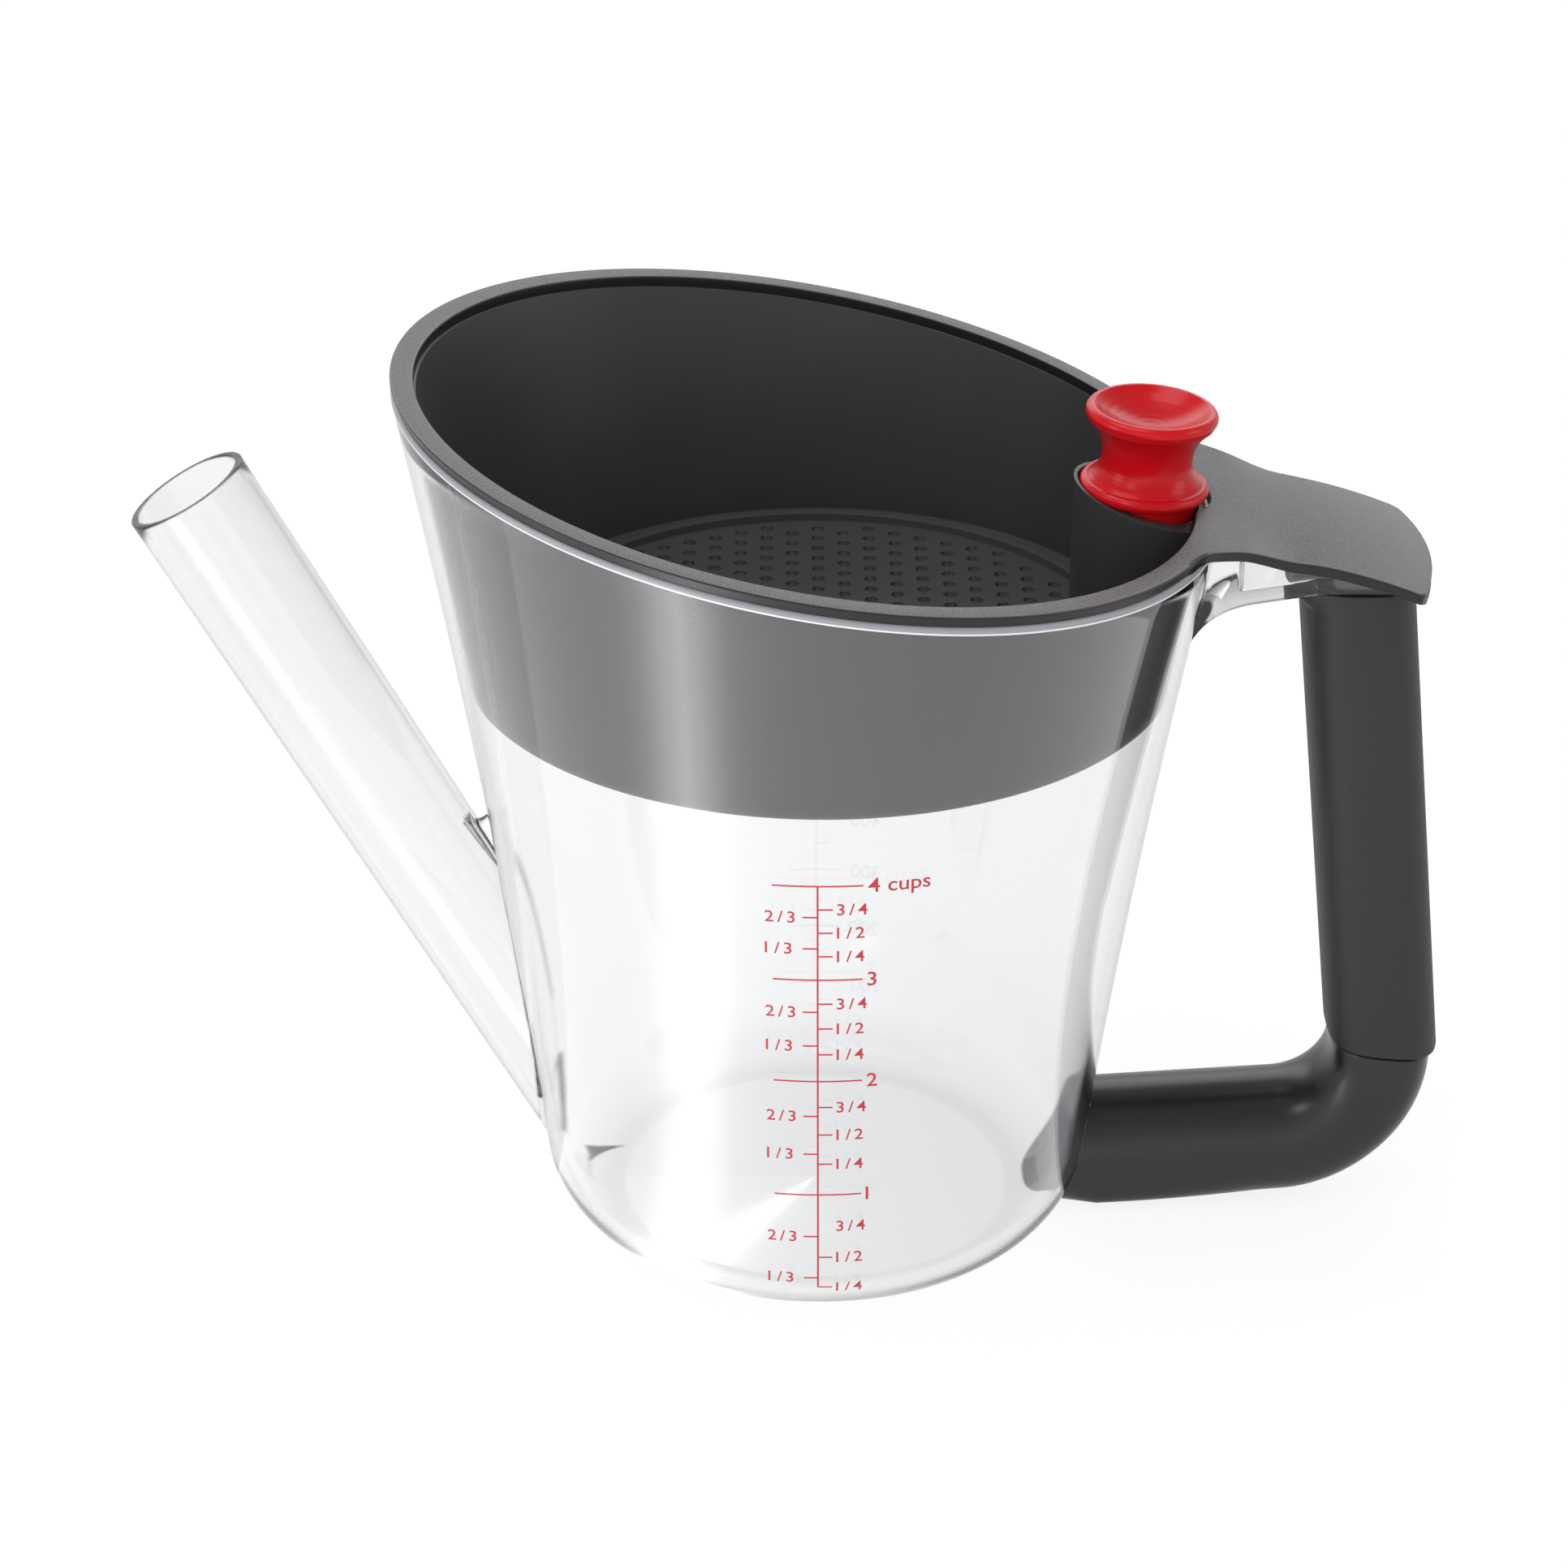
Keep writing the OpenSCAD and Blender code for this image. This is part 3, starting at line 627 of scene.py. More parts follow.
def channel_tool():
    end = BRACKET_END_X - BRACKET_WALL
    slope = (ARCH_TOP.y - ARCH_CORNER.y) / (ARCH_TOP.x - ARCH_CORNER.x)
    start_z = ARCH_CORNER.y + slope * (CHANNEL_X - ARCH_CORNER.x)
    floor = [(CHANNEL_X, start_z), (ARCH_TOP.x, BRACKET_Z), (end, BRACKET_Z)]
    outline = [Vector((x, z + BRACKET_WALL)) for x, z in floor]
    outline += [Vector((x, RIM_Z)) for x in (end, CHANNEL_X)]
    return slab(outline, BRACKET_HALF_W - BRACKET_WALL, CHANNEL_EDGE_R)


def core_tool():
    section = oval(CORE_HALF_W + CORE_GAP, CORE_HALF_D + CORE_GAP, CORE_POWER)
    return skin([
        [(grip_at(z) + p.x, p.y, z) for p in section]
        for z in (BRACKET_Z - TENON, BRACKET_Z + TENON + CORE_GAP)
    ])


# The cup is joined with the other parts and cut by the port, and edges that the
# cuts leave with no length to speak of are taken out
MERGE_BELOW = 0.003 * MM


def join(target, operation, tool):
    step = target.modifiers.new(operation.lower(), "BOOLEAN")
    step.operation, step.solver, step.object = operation, "EXACT", tool


inside_wall = wall_column(SUNK, SUNK, CORNER_R - SUNK, RIM_Z)
tools = {
    "wall_tool": revolved([inside_wall] * AROUND_CUP),
    "spout_tool": skin(list(zip(*[tube_column(turn) for turn in turns(AROUND_TUBE)])), True),
    "web_tool": skin([web_layer(math.radians(a)) for a in WEB_LAYER_TURNS]),
    "port_tool": skin(list(zip(*[port_column(turn) for turn in turns(AROUND_TUBE)]))),
    "bracket_tool": bracket_tool(),
    "channel_tool": channel_tool(),
    "core_tool": core_tool(),
}
tools = {name: add_object(name, finish_mesh(work, name)) for name, work in tools.items()}
jug = add_object(
    "clear_jug", finish_mesh(revolved([cup_column(turn) for turn in turns(AROUND_CUP)]), "cup")
)
join(tools["spout_tool"], "DIFFERENCE", tools["wall_tool"])
for cut in ("wall_tool", "channel_tool", "core_tool"):
    join(tools["bracket_tool"], "DIFFERENCE", tools[cut])
join(jug, "UNION", tools["spout_tool"])
join(jug, "UNION", tools["web_tool"])
join(jug, "UNION", tools["bracket_tool"])
join(jug, "DIFFERENCE", tools["port_tool"])
moulding = bmesh.new()
moulding.from_mesh(
    bpy.data.meshes.new_from_object(jug.evaluated_get(bpy.context.evaluated_depsgraph_get()))
)
jug.modifiers.clear()
for tool in tools.values():
    bpy.data.objects.remove(tool)
bmesh.ops.dissolve_degenerate(moulding, edges=moulding.edges, dist=MERGE_BELOW)
jug.data = finish_mesh(moulding, "clear_jug")

CLEAR_IOR = 1.57
CLEAR_EDGE_R = 0.7 * MM
CLEAR_TINT = (0.985, 0.988, 0.99, 1)
SHADOW_TINT = (0.95, 0.955, 0.96, 1)
DEPTH_TINT = (0.80, 0.82, 0.87, 1)
DEPTH_DENSITY = 12.0
FLOW_WAVES = 22
FLOW_STRETCH = (1, 1, 0.35)
FLOW_DEPTH = 0.15 * MM
FLOW_STRENGTH = 0.25
PAINTED_VEIL_PALER = 1.3


def clear_finish(name, painted_veil=0, tint=None):
    """Clear plastic, with a painted veil of colour where an edge is full of light: a painted
    highlight.
    """
    clear = new_finish(name)
    flow = clear.grain(FLOW_WAVES, detail=1, stretch=FLOW_STRETCH)
    edge = 0 if painted_veil else CLEAR_EDGE_R
    body = clear.mix(
        clear.ray("Shadow", "Diffuse"),
        clear.plastic(
            Base_Color=CLEAR_TINT,
            Roughness=0.0,
            IOR=CLEAR_IOR,
            Transmission_Weight=1.0,
            Normal=clear.bump(flow, FLOW_DEPTH, FLOW_STRENGTH, edge),
        ),
        clear.node("ShaderNodeBsdfTransparent", inputs={"Color": SHADOW_TINT}),
    )
    if painted_veil:
        pale = tuple(min(1, c * PAINTED_VEIL_PALER) for c in tint)
        body = clear.mix(
            painted_veil,
            body,
            clear.plastic(Base_Color=clear.mix_colour(flow, tint, pale), Roughness=0.3 + flow * 0.1),
        )
    depth = clear.node(
        "ShaderNodeVolumeAbsorption", inputs={"Color": DEPTH_TINT, "Density": DEPTH_DENSITY}
    )
    return clear.show(body, volume=depth)


# A painted lilac band of light on the polished edge of the wall, and a painted glint where it starts
# to turn
PAINTED_EDGE_LILAC = (0.36, 0.355, 0.39, 1)
PAINTED_GLINT = (0.93, 0.93, 0.95, 1)
PAINTED_GLINT_BELOW = 1.07 * MM
EDGE_IN = WALL_T * 0.9
EDGE_OUT = SUNK * 0.1
PAINTED_EDGE_SLOT, PAINTED_GLINT_SLOT = 1, 2
for material in (
    clear_finish("clear_plastic"),
    clear_finish("clear_painted_edge_light", painted_veil=0.8, tint=PAINTED_EDGE_LILAC),
    clear_finish("clear_painted_glint", painted_veil=0.9, tint=PAINTED_GLINT),
):
    jug.data.materials.append(material)
# Faces along the lip take the painted edge light and the painted glint
for face in jug.data.polygons:
    turn = math.atan2(face.center.y, face.center.x)
    below = edge_z(turn, 0, RIM_T) - face.center.z
    off_wall = face.center.xy.length - wall_r(face.center.z)
    if -EDGE_IN < off_wall < EDGE_OUT and -WALL_T < below < LIP_R:
        face.material_index = PAINTED_GLINT_SLOT if below > PAINTED_GLINT_BELOW else PAINTED_EDGE_SLOT
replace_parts(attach(jug, "jug"), "cup", "pour_spout", "handle_bracket")

# ---------------------------------------------------------- millilitre scale
# Screen-printed at the back, outside on the wall, in a grey that hardly shows: a
# mark at each 100 ml, a short one between, and figures on the handle's side.
PRINT_OUT = 0.04 * MM
LINE_W = 0.34 * MM
LINE_STEP = 1.2 * MM
LONG_TICK = 7.8 * MM
SHORT_TICK = 2.6 * MM
REAR_TICK = LONG_TICK * 0.7
DIGIT_H = 2.9 * MM
REAR_DIGITS_X = -13.4 * MM
INK_GRAIN = 1800
INK_GLOSS_SPREAD = 0.15
LETTER_WEIGHT = 0.008
LETTER_STEPS = 4
# The print's line leans a little on the wall
PRINT_LEAN = 0.0085
# Heights on the wall of a quarter cup and of each whole one, as the jug holds them
LOWEST_SHARE = 0.25
LOWEST_MARK = 10.0 * MM
CUP_MARKS = [32.0 * MM, 58.0 * MM, 80.5 * MM, 100.7 * MM]
# How far the parts of a cup crowd upwards, because the jug widens
CUP_CROWDING = [0, 0.13, 0.09, 0.02]
CUP_ML = 236.6
# Millilitres of the lines at the back
REAR_SPAN = range(100, 950, 50)


def font_height():
    """Height of a figure in the built-in letters at size 1."""
    curve = bpy.data.curves.new("figure", "FONT")
    curve.body = "1"
    writer = bpy.data.objects.new("figure", curve)
    scene.collection.objects.link(writer)
    bpy.context.view_layer.update()
    height = max(corner[1] for corner in writer.bound_box)
    bpy.data.objects.remove(writer)
    return height


FONT_CAP = font_height()


class Print:
    """Ink on the outside of the wall, at places given from the scale's own line."""

    def __init__(self, front):
        self.side = -1 if front else 1
        self.work = bmesh.new()

    def vert(self, along, height):
        """A vertex that far to the right of the scale's line, and that high."""
        reach = foot_r(height)
        turn = (along - PRINT_LEAN * (height - CUP_MARKS[0])) / reach
        reach += PRINT_OUT
        return self.work.verts.new(
            (-self.side * math.sin(turn) * reach, self.side * math.cos(turn) * reach, height)
        )

    def line(self, start, end):
        """A straight line, in steps that keep it on the round of the wall."""
        start, end = Vector(start), Vector(end)
        run = end - start
        across = Vector((-run.y, run.x)).normalized() * LINE_W / 2
        steps = max(1, round(run.length / LINE_STEP))
        pairs = []
        for i in range(steps + 1):
            middle = start + run * (i / steps)
            pairs.append([self.vert(*(middle - across)), self.vert(*(middle + across))])
        for before, after in zip(pairs, pairs[1:]):
            self.work.faces.new((before[0], after[0], after[1], before[1]))

    def label(self, text, left, middle, height, spread=1.0):
        """Figures that start at left and stand centred on a height."""
        curve = bpy.data.curves.new("figures", "FONT")
        curve.body = text
        curve.space_character = spread
        curve.offset = LETTER_WEIGHT
        curve.resolution_u = LETTER_STEPS
        writer = bpy.data.objects.new("figures", curve)
        scene.collection.objects.link(writer)
        bpy.context.view_layer.update()
        flat = bpy.data.meshes.new_from_object(writer)
        bpy.data.objects.remove(writer)
        scale = height / FONT_CAP
        start = min(v.co.x for v in flat.vertices)
        placed = [
            self.vert(left + (v.co.x - start) * scale, middle + (v.co.y - FONT_CAP / 2) * scale)
            for v in flat.vertices
        ]
        for face in flat.polygons:
            self.work.faces.new([placed[i] for i in face.vertices])
        bpy.data.meshes.remove(flat)

    def show(self, name, material):
        return add_object(name, finish_mesh(self.work, name), material)


def ink(name, dark, pale, roughness, **more):
    """Matt ink whose tone and gloss change a little over each stroke."""
    finish = new_finish(name)
    grain = finish.grain(INK_GRAIN, detail=2)
    return finish.show(
        finish.plastic(
            Base_Color=finish.mix_colour(grain, dark, pale),
            Roughness=roughness + grain * INK_GLOSS_SPREAD,
            **more,
        )
    )


def mark_z(cups):
    """Height on the wall of a number of cups."""
    whole = int(cups)
    share = cups - whole
    if whole == 0:
        share = (share - LOWEST_SHARE) / (1 - LOWEST_SHARE)
        return LOWEST_MARK + (CUP_MARKS[0] - LOWEST_MARK) * share
    share += CUP_CROWDING[whole] * share * (1 - share)
    return CUP_MARKS[whole - 1] + (CUP_MARKS[whole] - CUP_MARKS[whole - 1]) * share


rear = Print(front=False)
rear.line((0, mark_z(REAR_SPAN[0] / CUP_ML)), (0, mark_z(REAR_SPAN[-1] / CUP_ML)))
for ml in REAR_SPAN:
    z = mark_z(ml / CUP_ML)
    if ml % 100:
        rear.line((-SHORT_TICK, z), (0, z))
    else:
        rear.line((-REAR_TICK, z), (REAR_TICK, z))
        rear.label(str(ml), REAR_DIGITS_X, z, DIGIT_H)
rear_scale = rear.show(
    "millilitre_scale",
    ink("grey_ink", (0.30, 0.30, 0.31, 1), (0.36, 0.36, 0.37, 1), 0.4, Alpha=0.13),
)
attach(rear_scale, "jug")

# ----------------------------------------------------------------- cup scale
# Screen-printed in red on the front, opposite the other: whole cups on both
# sides of the scale's line, their quarters on its right and thirds on its left.
SHARE_H = 2.35 * MM
SHARE_SPREAD = 1.32
CUP_DIGITS_X = 8.6 * MM
QUARTERS_X = 3.3 * MM
THIRDS_X = -9.1 * MM
QUARTERS = ((0.25, "1/4"), (0.5, "1/2"), (0.75, "3/4"))
THIRDS = ((1 / 3, "1/3"), (2 / 3, "2/3"))

front = Print(front=True)
front.line((0, LOWEST_MARK), (0, CUP_MARKS[3]))
for number, z in enumerate(CUP_MARKS, 1):
    front.line((-LONG_TICK, z), (LONG_TICK, z))
    front.label("4 cups" if number == 4 else str(number), CUP_DIGITS_X, z, DIGIT_H)
for whole in range(4):
    for share, figures in QUARTERS:
        z = mark_z(whole + share)
        # The lowest of these has no tick
        if (whole, figures) != (0, "3/4"):
            front.line((0, z), (SHORT_TICK, z))
        front.label(figures, QUARTERS_X, z, SHARE_H, SHARE_SPREAD)
    for share, figures in THIRDS:
        z = mark_z(whole + share)
        front.line((-SHORT_TICK, z), (0, z))
        front.label(figures, THIRDS_X, z, SHARE_H, SHARE_SPREAD)
red_scale = front.show(
    "cup_scale", ink("red_ink", (0.50, 0.020, 0.032, 1), (0.58, 0.030, 0.045, 1), 0.35)
)
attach(red_scale, "jug")

# -------------------------------------------------------------- handle frame
# The hard part of the handle: arm, elbow and core in one glossy black moulding,
# spark-eroded to a fine satin, welded to the foot of the cup.
SLOW_GRAIN = 35
GLOSS_SPREAD = 0.08
PALE_GAIN = 1.25
PALE_ADDED = 0.004


def black_plastic(name, colour, roughness, grain_scale, depth, strength, edge=0):
    """Moulded black plastic, with a fine grain and slow changes of tone and gloss."""
    finish = new_finish(name)
    fine = finish.grain(grain_scale, detail=2)
    slow = finish.grain(SLOW_GRAIN, detail=3)
    pale = tuple(c * PALE_GAIN + PALE_ADDED for c in colour[:3]) + (1,)
    return finish.show(
        finish.plastic(
            Base_Color=finish.mix_colour(slow, colour, pale),
            Roughness=roughness - GLOSS_SPREAD / 2 + slow * GLOSS_SPREAD,
            Normal=finish.bump(fine, depth, strength, edge),
        )
    )


def dress(node, material):
    """Gives a CAD piece its real finish."""
    nodes[node].material_slots[0].material = material


# The arm is flat below, round above, and stands just off the table; the elbow
# grows squarer towards the seam, where the soft sleeve sits on its edge
ARM_HALF_D = 11.6 * MM
SEAM_HALF_W = 10.0 * MM
ELBOW_IN_R = 10.9 * MM
ELBOW_Z = 32.6 * MM
ARM_LEAN = math.radians(4.2)
ARM_TOP = 12.7 * MM
ARM_LOW = 9.4 * MM
ELBOW_OUT = 8.9 * MM
ARM_OFF_TABLE = 0.5 * MM
ARM_RISE = 1.6 * MM
SEAM_Z = 34.8 * MM
SEAM_TILT = math.radians(5)
SEAM_GAP = 0.12 * MM
SEAM_EDGE_R = 0.5 * MM
OFF_WALL = 0.03 * MM
WELD_NEAR = OFF_WALL * 5
# How square the sections are: on top, at the seam, under the arm, and at the weld
ROUND_POWER = 2.2
SQUARE_POWER = 2.9
FLAT_POWER = 6
WELD_POWER = 2.8
ARM_ROWS = 24
ELBOW_ROWS = 28
ROOT_ROWS = 6
# The innermost ring of the weld, as a share of a row
ROOT_START = 0.05
# Turns of the rings round a soft edge
EDGE_TURNS = (0, math.pi / 6, math.pi / 3, math.pi / 2)
elbow_mid_r = ELBOW_IN_R + SEAM_HALF_W
elbow_middle = Vector((grip_at(ELBOW_Z) - elbow_mid_r / math.cos(GRIP_LEAN), ELBOW_Z))


def handle_section(middle, down, sizes, powers, scale=1, half_d=ARM_HALF_D):
    """Points round the handle: its top half has the first size and power, and its
    lower half the second."""
    loop = []
    for turn in turns(AROUND_TUBE):
        side, deep = math.cos(turn), math.sin(turn)
        lower = deep > 0
        power = powers[lower]
        y = math.copysign(abs(side) ** (2 / power), side) * half_d * scale
        off = math.copysign(abs(deep) ** (2 / power), deep) * sizes[lower] * scale
        place = middle + down * off
        loop.append(Vector((place.x, y, place.y)))
    return loop


def on_wall(loop):
    """The same loop where it meets the outside of the cup."""
    return [
        Vector((math.sqrt((foot_r(p.z) + OFF_WALL) ** 2 - p.y ** 2), p.y, p.z)) for p in loop
    ]


def arm_loop(along, scale=1):
    """Section of the arm, a share of the way from the cup to the elbow."""
    down = Vector((math.sin(ARM_LEAN), -math.cos(ARM_LEAN)))
    end = elbow_middle + down * elbow_mid_r
    reach = (end.x - FOOT_R) / math.cos(ARM_LEAN) * (1 - along)
    middle = end - Vector((math.cos(ARM_LEAN), math.sin(ARM_LEAN))) * reach
    low = min(ARM_LOW, (middle.y - ARM_OFF_TABLE - ARM_RISE * along) / math.cos(ARM_LEAN))
    lower_power = FLAT_POWER + (SQUARE_POWER - FLAT_POWER) * eased(along)
    if along == 0:
        lower_power = WELD_POWER
    return handle_section(middle, down, (ARM_TOP, low), (ROUND_POWER, lower_power), scale)


def elbow_loop(along):
    """Section of the elbow, a share of the way round its bend."""
    turn = -math.pi / 2 + ARM_LEAN + (math.pi / 2 - ARM_LEAN + GRIP_LEAN) * along
    down = Vector((math.cos(turn), math.sin(turn)))
    share = eased(along)
    top = ARM_TOP + (SEAM_HALF_W - ARM_TOP) * share
    low = ARM_LOW + (ELBOW_OUT - ARM_LOW) * eased(along * 2)
    powers = (ROUND_POWER + (SQUARE_POWER - ROUND_POWER) * share, SQUARE_POWER)
    return handle_section(elbow_middle + down * elbow_mid_r, down, (top, low), powers)


def up_to_seam(loop, short):
    """The loop moved up the grip's axis until it lies that far short of the seam."""
    up = Vector((-math.sin(GRIP_LEAN), math.cos(GRIP_LEAN)))
    square = Vector((math.sin(SEAM_TILT), math.cos(SEAM_TILT)))
    seam = Vector((grip_at(SEAM_Z), SEAM_Z))
    moved = []
    for p in loop:
        rise = ((seam - Vector((p.x, p.z))).dot(square) - short) / up.dot(square)
        moved.append(Vector((p.x + up.x * rise, p.y, p.z + up.y * rise)))
    return moved


def drawn_in(loop, by):
    middle = sum(loop, Vector()) / len(loop)
    return [p - (p - middle).normalized() * by for p in loop]


def soft_end(section, radius):
    """Rings round the soft edge of an end, from the section at each distance short of it."""
    return [
        drawn_in(section(radius * (1 - math.sin(a))), radius * (1 - math.cos(a)))
        for a in EDGE_TURNS
    ]


def core_ring(z, gap=0):
    """Section of the core, its points in step with the elbow's."""
    return handle_section(
        Vector((grip_at(z), z)),
        Vector((1, 0)),
        (CORE_HALF_W + gap, CORE_HALF_W + gap),
        (CORE_POWER, CORE_POWER),
        half_d=CORE_HALF_D + gap,
    )


elbow_end = elbow_loop(1)
frame_rows = (
    [on_wall(arm_loop(0, (i + ROOT_START) / ROOT_ROWS)) for i in range(ROOT_ROWS)]
    + [on_wall(arm_loop(0))]
    + [arm_loop(i / ARM_ROWS) for i in range(2, ARM_ROWS)]
    + [elbow_loop(i / ELBOW_ROWS) for i in range(ELBOW_ROWS)]
    + soft_end(lambda short: up_to_seam(elbow_end, SEAM_GAP + short), SEAM_EDGE_R)
    + [up_to_seam(core_ring(SEAM_Z), SEAM_GAP), core_ring(BRACKET_Z + TENON)]
)
hard_black = black_plastic(
    "hard_black",
    (0.010, 0.010, 0.011, 1),
    roughness=0.28,
    grain_scale=2600,
    depth=0.02 * MM,
    strength=0.25,
)
handle_frame = add_object(
    "arm_elbow_and_core", finish_mesh(skin(frame_rows), "arm_elbow_and_core"), hard_black
)
# The weld to the cup shows through the wall as a streaky face, painted pale for the reflection of the
# wall that lies on it
weld = new_finish("weld_face_painted_pale")
streaks = weld.grain(260, detail=3, roughness=0.6, stretch=(1, 1, 0.15))
handle_frame.data.materials.append(
    weld.show(
        weld.plastic(
            Base_Color=weld.mix_colour(streaks, (0.05, 0.05, 0.058, 1), (0.27, 0.27, 0.295, 1)),
            Roughness=0.35 + streaks * 0.2,
        )
    )
)
for face in handle_frame.data.polygons:
    if abs(face.center.xy.length - foot_r(face.center.z)) < WELD_NEAR:
        face.material_index = 1
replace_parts(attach(handle_frame, "jug"), "handle_frame")

# --------------------------------------------------------------- handle grip
# The soft sleeve over the core: matt black rubber, with the fine even grain of
# an eroded mould, pushed up against the bracket.
GRIP_HALF_W = 10.25 * MM
GRIP_HALF_D = 12.0 * MM
GRIP_POWER = 3.0
GRIP_FOOT_R = 0.9 * MM
GRIP_SHY = 0.15 * MM
GRIP_TOP_R = 0.35 * MM
GRIP_LIP_OUT = 3.3 * MM
GRIP_LIP_H = 4.4 * MM
GRIP_LIP_T = 0.8 * MM
GRIP_LIP_HALF_W = 8 * MM
# How hollow the lip's underside is, and how soon it fades towards the sides
GRIP_LIP_HOLLOW = 1.25
GRIP_LIP_FADE = 1.5
CORE_CLEAR = 0.05 * MM
GRIP_ROWS = 16
LIP_ROWS = 10


def sleeve_loop(z):
    """Section of the sleeve, whose inner side runs out into a lip under the bracket."""
    half_w = GRIP_HALF_W / math.cos(GRIP_LEAN)
    loop = handle_section(
        Vector((grip_at(z) - GRIP_SHY, z)),
        Vector((1, 0)),
        (half_w, half_w),
        (GRIP_POWER, GRIP_POWER),
        half_d=GRIP_HALF_D,
    )
    down = max(0, BRACKET_Z - z - GRIP_LIP_T) / (GRIP_LIP_H - GRIP_LIP_T)
    out = GRIP_LIP_OUT * max(0, 1 - down) ** GRIP_LIP_HOLLOW
    for p in loop:
        if p.x < grip_at(z):
            inner = min(1, (grip_at(z) - p.x) / half_w * GRIP_LIP_FADE)
            edge = 1 - eased((abs(p.y) - GRIP_LIP_HALF_W) / (GRIP_HALF_D - GRIP_LIP_HALF_W))
            p.x -= out * inner * edge
    return loop


lip_low_z = BRACKET_Z - GRIP_LIP_H
sleeve_zs = spaced(SEAM_Z, lip_low_z, GRIP_ROWS)[1:]
sleeve_zs += spaced(lip_low_z, BRACKET_Z - GRIP_TOP_R, LIP_ROWS)[1:]
sleeve_foot = sleeve_loop(SEAM_Z)
sleeve_rows = (
    soft_end(lambda short: up_to_seam(sleeve_foot, -short), GRIP_FOOT_R)[::-1]
    + [sleeve_loop(z) for z in sleeve_zs]
    + soft_end(lambda short: sleeve_loop(BRACKET_Z - short), GRIP_TOP_R)[1:]
    + [core_ring(BRACKET_Z, CORE_CLEAR), up_to_seam(core_ring(SEAM_Z, CORE_CLEAR), 0)]
)
soft_grip = add_object(
    "grip_sleeve",
    finish_mesh(skin(sleeve_rows, True), "grip_sleeve"),
    black_plastic(
        "soft_grip",
        (0.014, 0.014, 0.015, 1),
        roughness=0.58,
        grain_scale=2200,
        depth=0.03 * MM,
        strength=0.5,
    ),
)
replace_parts(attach(soft_grip, "jug"), "handle_grip")

# ------------------------------------------------- strainer: basket and sieve
# The lift-out strainer is one moulding in black plastic: nearly polished on its
# wall, a little duller on the perforated floor, with soft edges on both.
dress(
    "strainer_basket",
    black_plastic(
        "strainer_satin",
        (0.031, 0.031, 0.032, 1),
        roughness=0.42,
        grain_scale=500,
        depth=0.0008 * MM,
        strength=0.03,
        edge=0.3 * MM,
    ),
)
dress(
    "strainer_floor",
    black_plastic(
        "sieve_satin",
        (0.048, 0.048, 0.049, 1),
        roughness=0.48,
        grain_scale=900,
        depth=0.02 * MM,
        strength=0.2,
        edge=0.25 * MM,
    ),
)

# ---------------------------------------------------- strainer: rim and tab
# The rim rests on the sloping edge of the cup, and is drawn out into the tab that
# covers the handle: crowned, bent down at its end, with soft edges all round.
# It is grained on what faces up and smooth and black on the edges and below; what faces up is painted
# a lighter grey for the light that falls on it.
PAINTED_TOP_LIGHT_STOPS = [(0.72, 0.0), (0.93, 1.0)]
SPECKLE_STOPS = [(0.38, 0.0), (0.64, 1.0)]
# Both edges of the top carry a painted highlight
PAINTED_EDGE_HIGHLIGHT_STOPS = [(0.50, 0.0), (0.66, 1.0), (0.84, 1.0), (0.96, 0.0)]

rim_grain = new_finish("strainer_grain_and_painted_light")
facing = rim_grain.node(
    "ShaderNodeSeparateXYZ", inputs={0: rim_grain.node("ShaderNodeNewGeometry", out="Normal")}, out=2
)
# What faces up is painted a lighter grey for the light that falls on it
painted_top_light = rim_grain.ramp(PAINTED_TOP_LIGHT_STOPS, facing)
# Painted highlight along both edges of the top, on the top grey and on the side black
painted_edge_highlight = rim_grain.ramp(PAINTED_EDGE_HIGHLIGHT_STOPS, facing)
speckle = rim_grain.grain(2600, detail=3, roughness=0.7)
speckled = rim_grain.ramp(SPECKLE_STOPS, speckle)
painted_light_top_grey = rim_grain.mix_colour(speckled, (0.045, 0.045, 0.046, 1), (0.13, 0.13, 0.131, 1))
painted_light_top_grey = rim_grain.mix_colour(painted_edge_highlight, painted_light_top_grey, (0.26, 0.26, 0.265, 1))
side_black = rim_grain.plastic(
    Base_Color=rim_grain.mix_colour(painted_edge_highlight, (0.012, 0.012, 0.0125, 1), (0.07, 0.07, 0.072, 1)),
    Roughness=0.28 + speckled * 0.05,
    Specular_IOR_Level=0.36,
)
grained_top = rim_grain.plastic(
    Base_Color=painted_light_top_grey,
    Roughness=0.40 + speckled * 0.06,
    Specular_IOR_Level=0.70,
    Normal=rim_grain.bump(speckle, 0.16 * MM, 0.9),
)
rim_black = rim_grain.show(rim_grain.mix(painted_top_light, side_black, grained_top))

OVERHANG = -0.5 * MM
BASKET_INSET = 4.5 * MM
PLATE_EDGE_R = 0.45 * MM
PLATE_DRAFT = 0.45 * MM
INNER_EDGE_R = 0.35 * MM
EDGE_STEPS = 4
TAB_END_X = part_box("strainer_rim")[1].x
TAB_BULGE = 3 * MM
SIDE_END_X = TAB_END_X - TAB_BULGE
TAB_CORNER_R = 1.6 * MM
# Degrees round the tab's outer corners
TAB_CORNER_TURNS = (22, 45, 65, 80, 90)
FLARE_R = 47 * MM
FLARE_X = 90 * MM
FLARE_BLEND = 4 * MM
FLARE_START = 0.7
SEEK_STEP = 0.02 * MM
STOPPER_X = 57.5 * MM
RECESS_R = 11.95 * MM
ACROSS_TAB = 48
AROUND_RIM = 240
TAB_STEP = 1.6 * MM


def ring_r(turn, inset, drop):
    """Distance from the axis of a wall moved in by inset, drop below the rim's top."""
    return wall_r(edge_z(turn, inset, drop)) - inset


def rim_half_w(x):
    reach = ring_r(0, -OVERHANG, PLATE_EDGE_R)
    return math.sqrt(max(0, reach * reach - x * x))


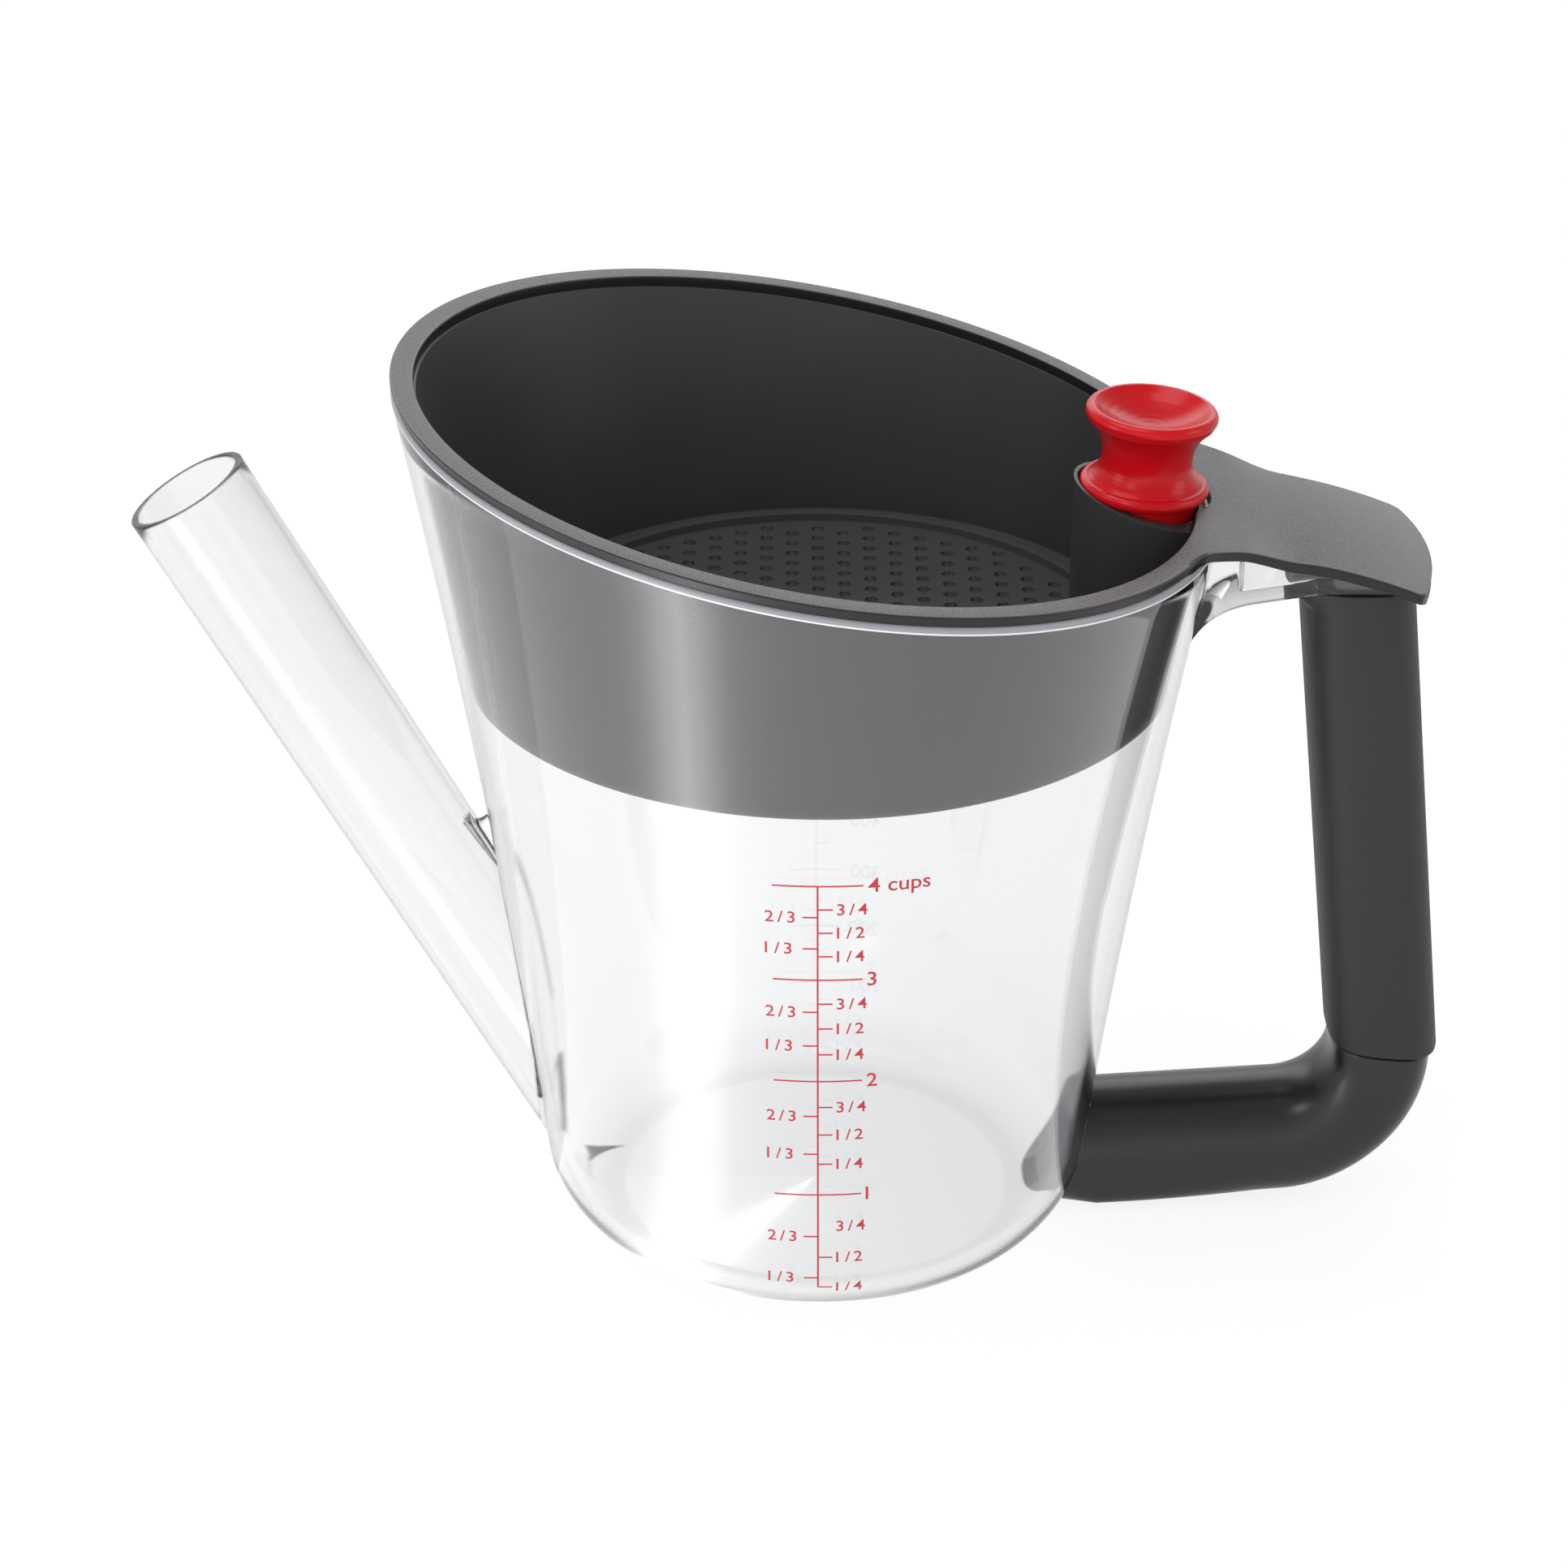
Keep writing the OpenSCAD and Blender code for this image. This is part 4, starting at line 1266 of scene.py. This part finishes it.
def flare_half_w(x):
    if x > FLARE_X:
        return TAB_HALF_W
    return TAB_HALF_W + FLARE_R - math.sqrt(FLARE_R ** 2 - (FLARE_X - x) ** 2)


def plate_half_w(x):
    """Half width of rim and tab towards the handle, with a soft inner corner and
    round outer corners."""
    rim, flare = rim_half_w(x), flare_half_w(x)
    near = max(0, FLARE_BLEND - abs(rim - flare)) / FLARE_BLEND
    width = max(rim, flare) + near * near * FLARE_BLEND / 4
    left = max(0, TAB_CORNER_R - (SIDE_END_X - x))
    return width - TAB_CORNER_R + math.sqrt(TAB_CORNER_R ** 2 - left ** 2)


# Where the tab starts to part from the rim
part_x = FLARE_X - FLARE_R * FLARE_START
while rim_half_w(part_x) - flare_half_w(part_x) > FLARE_BLEND:
    part_x += SEEK_STEP
part_turn = math.atan2(rim_half_w(part_x), part_x)
tab_turns = [part_turn * (2 * i / ACROSS_TAB - 1) for i in range(ACROSS_TAB + 1)]
rest_turns = spaced(part_turn, 2 * math.pi - part_turn, AROUND_RIM)[1:-1]
corner_x = SIDE_END_X - TAB_CORNER_R
side_xs = spaced(part_x, corner_x, round((corner_x - part_x) / TAB_STEP))
side_xs += [
    SIDE_END_X - TAB_CORNER_R * (1 - math.sin(math.radians(a))) for a in TAB_CORNER_TURNS
]


def on_ring(turn, reach):
    return Vector((math.cos(turn) * reach, math.sin(turn) * reach))


def on_edge(turn):
    """The point of the rim's outer edge in a direction."""
    return on_ring(turn, ring_r(turn, -OVERHANG, PLATE_EDGE_R))


first_row = [on_edge(turn) for turn in tab_turns]


def tab_row(x):
    """Points across the tab: an arc of the rim at its start, bowed out at its end."""
    rim_like = 1 - eased((x - part_x) / (BEND_X - part_x))
    bulge = TAB_BULGE * eased((x - BEND_X) / (SIDE_END_X - BEND_X))
    row = []
    for point in first_row:
        across = point.y / first_row[-1].y
        row.append(Vector((
            x + (point.x - first_row[-1].x) * rim_like + bulge * (1 - across * across),
            across * plate_half_w(x),
        )))
    return row


plan = [first_row] + [tab_row(x) for x in side_xs[1:]]
rest = [on_edge(turn) for turn in rest_turns]
outline = (
    [plan[0][-1]]
    + rest
    + [row[0] for row in plan[:-1]]
    + plan[-1][:-1]
    + [row[-1] for row in plan[:0:-1]]
)


def inner_r(turn, drop):
    """Distance of the plate's inner edge from the axis, with the stopper's recess."""
    reach = ring_r(turn, BASKET_INSET, drop)
    off = STOPPER_X * math.sin(turn)
    if math.cos(turn) > 0 and abs(off) < RECESS_R:
        reach = max(reach, STOPPER_X * math.cos(turn) + math.sqrt(RECESS_R ** 2 - off ** 2))
    return reach


def outward(loop):
    """Unit normals of a loop that runs anticlockwise."""
    count = len(loop)
    runs = [loop[(i + 1) % count] - loop[i - 1] for i in range(count)]
    return [Vector((run.y, -run.x)).normalized() for run in runs]


plate = bmesh.new()


def plate_loop(points, drop=None):
    """A loop of the plate's skin that far below its top, or on its underside."""
    return [
        plate.verts.new(
            (p.x, p.y, plate_top(p.x, p.y) - (plate_depth(p.x) if drop is None else drop))
        )
        for p in points
    ]


def edge_loops(points, normals, radius, draft):
    """The skin of a soft edge, from the top face round to the underside."""
    loops = [
        plate_loop(
            [p - n * radius * (1 - math.sin(a)) for p, n in zip(points, normals)],
            radius * (1 - math.cos(a)),
        )
        for a in spaced(0, math.pi / 2, EDGE_STEPS)
    ]
    return loops + [plate_loop([p - n * draft for p, n in zip(points, normals)])]


inner_turns = tab_turns + rest_turns
inner_points = [on_ring(turn, inner_r(turn, INNER_EDGE_R)) for turn in inner_turns]
outer_loops = edge_loops(outline, outward(outline), PLATE_EDGE_R, PLATE_DRAFT)
inner_loops = edge_loops(inner_points, [-n for n in outward(inner_points)], INNER_EDGE_R, 0)
for edge in (outer_loops, inner_loops):
    for high, low in zip(edge, edge[1:]):
        for i in range(len(high)):
            plate.faces.new((high[i - 1], high[i], low[i], low[i - 1]))


def plate_face(outer, inner, drop=None):
    """The flat of the ring and the crowned tab, between two loops of the skin."""
    rest_count, rows, columns = len(rest), len(plan), len(first_row)
    grid = [[None] * columns for _ in plan]
    for j in range(1, columns - 1):
        for i in range(rows - 1):
            grid[i][j] = plate_loop([plan[i][j]], drop)[0]
    along = outer[rest_count + 1:]
    for i in range(rows - 1):
        grid[i][0] = along[i]
    for j in range(columns - 1):
        grid[-1][j] = along[rows - 1 + j]
    back = along[rows + columns - 2:] + outer[:1]
    for i, vert in enumerate(back):
        grid[rows - 1 - i][-1] = vert
    for low, high in zip(grid, grid[1:]):
        for j in range(columns - 1):
            plate.faces.new((low[j], high[j], high[j + 1], low[j + 1]))
    ring = grid[0] + outer[1:rest_count + 1]
    for i in range(len(ring)):
        plate.faces.new((ring[i - 1], ring[i], inner[i], inner[i - 1]))


plate_face(outer_loops[0], inner_loops[0], 0)
plate_face(outer_loops[-1], inner_loops[-1])
bmesh.ops.recalc_face_normals(plate, faces=plate.faces)
rim = add_object("strainer_rim_and_tab", finish_mesh(plate, "strainer_rim_and_tab"), rim_black)
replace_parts(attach(rim, "strainer"), "strainer_rim")

# ------------------------------------------------------------------- stopper
# The stopper is one piece of red silicone rubber, satin all over, parked in its
# pocket where the rim runs out into the tab.
silicone = new_finish("red_silicone")
rubber_grain = silicone.grain(1500, detail=2)
tone = silicone.grain(60, detail=2)
dress(
    "stopper",
    silicone.show(
        silicone.plastic(
            Base_Color=silicone.mix_colour(tone, (0.53, 0.004, 0.008, 1), (0.60, 0.005, 0.010, 1)),
            Roughness=0.20 + tone * 0.07,
            Specular_IOR_Level=0.26,
            Subsurface_Weight=0.08,
            Subsurface_Radius=(0.002, 0.0004, 0.0003),
            Normal=silicone.bump(rubber_grain, 0.02 * MM, 0.2),
        )
    ),
)
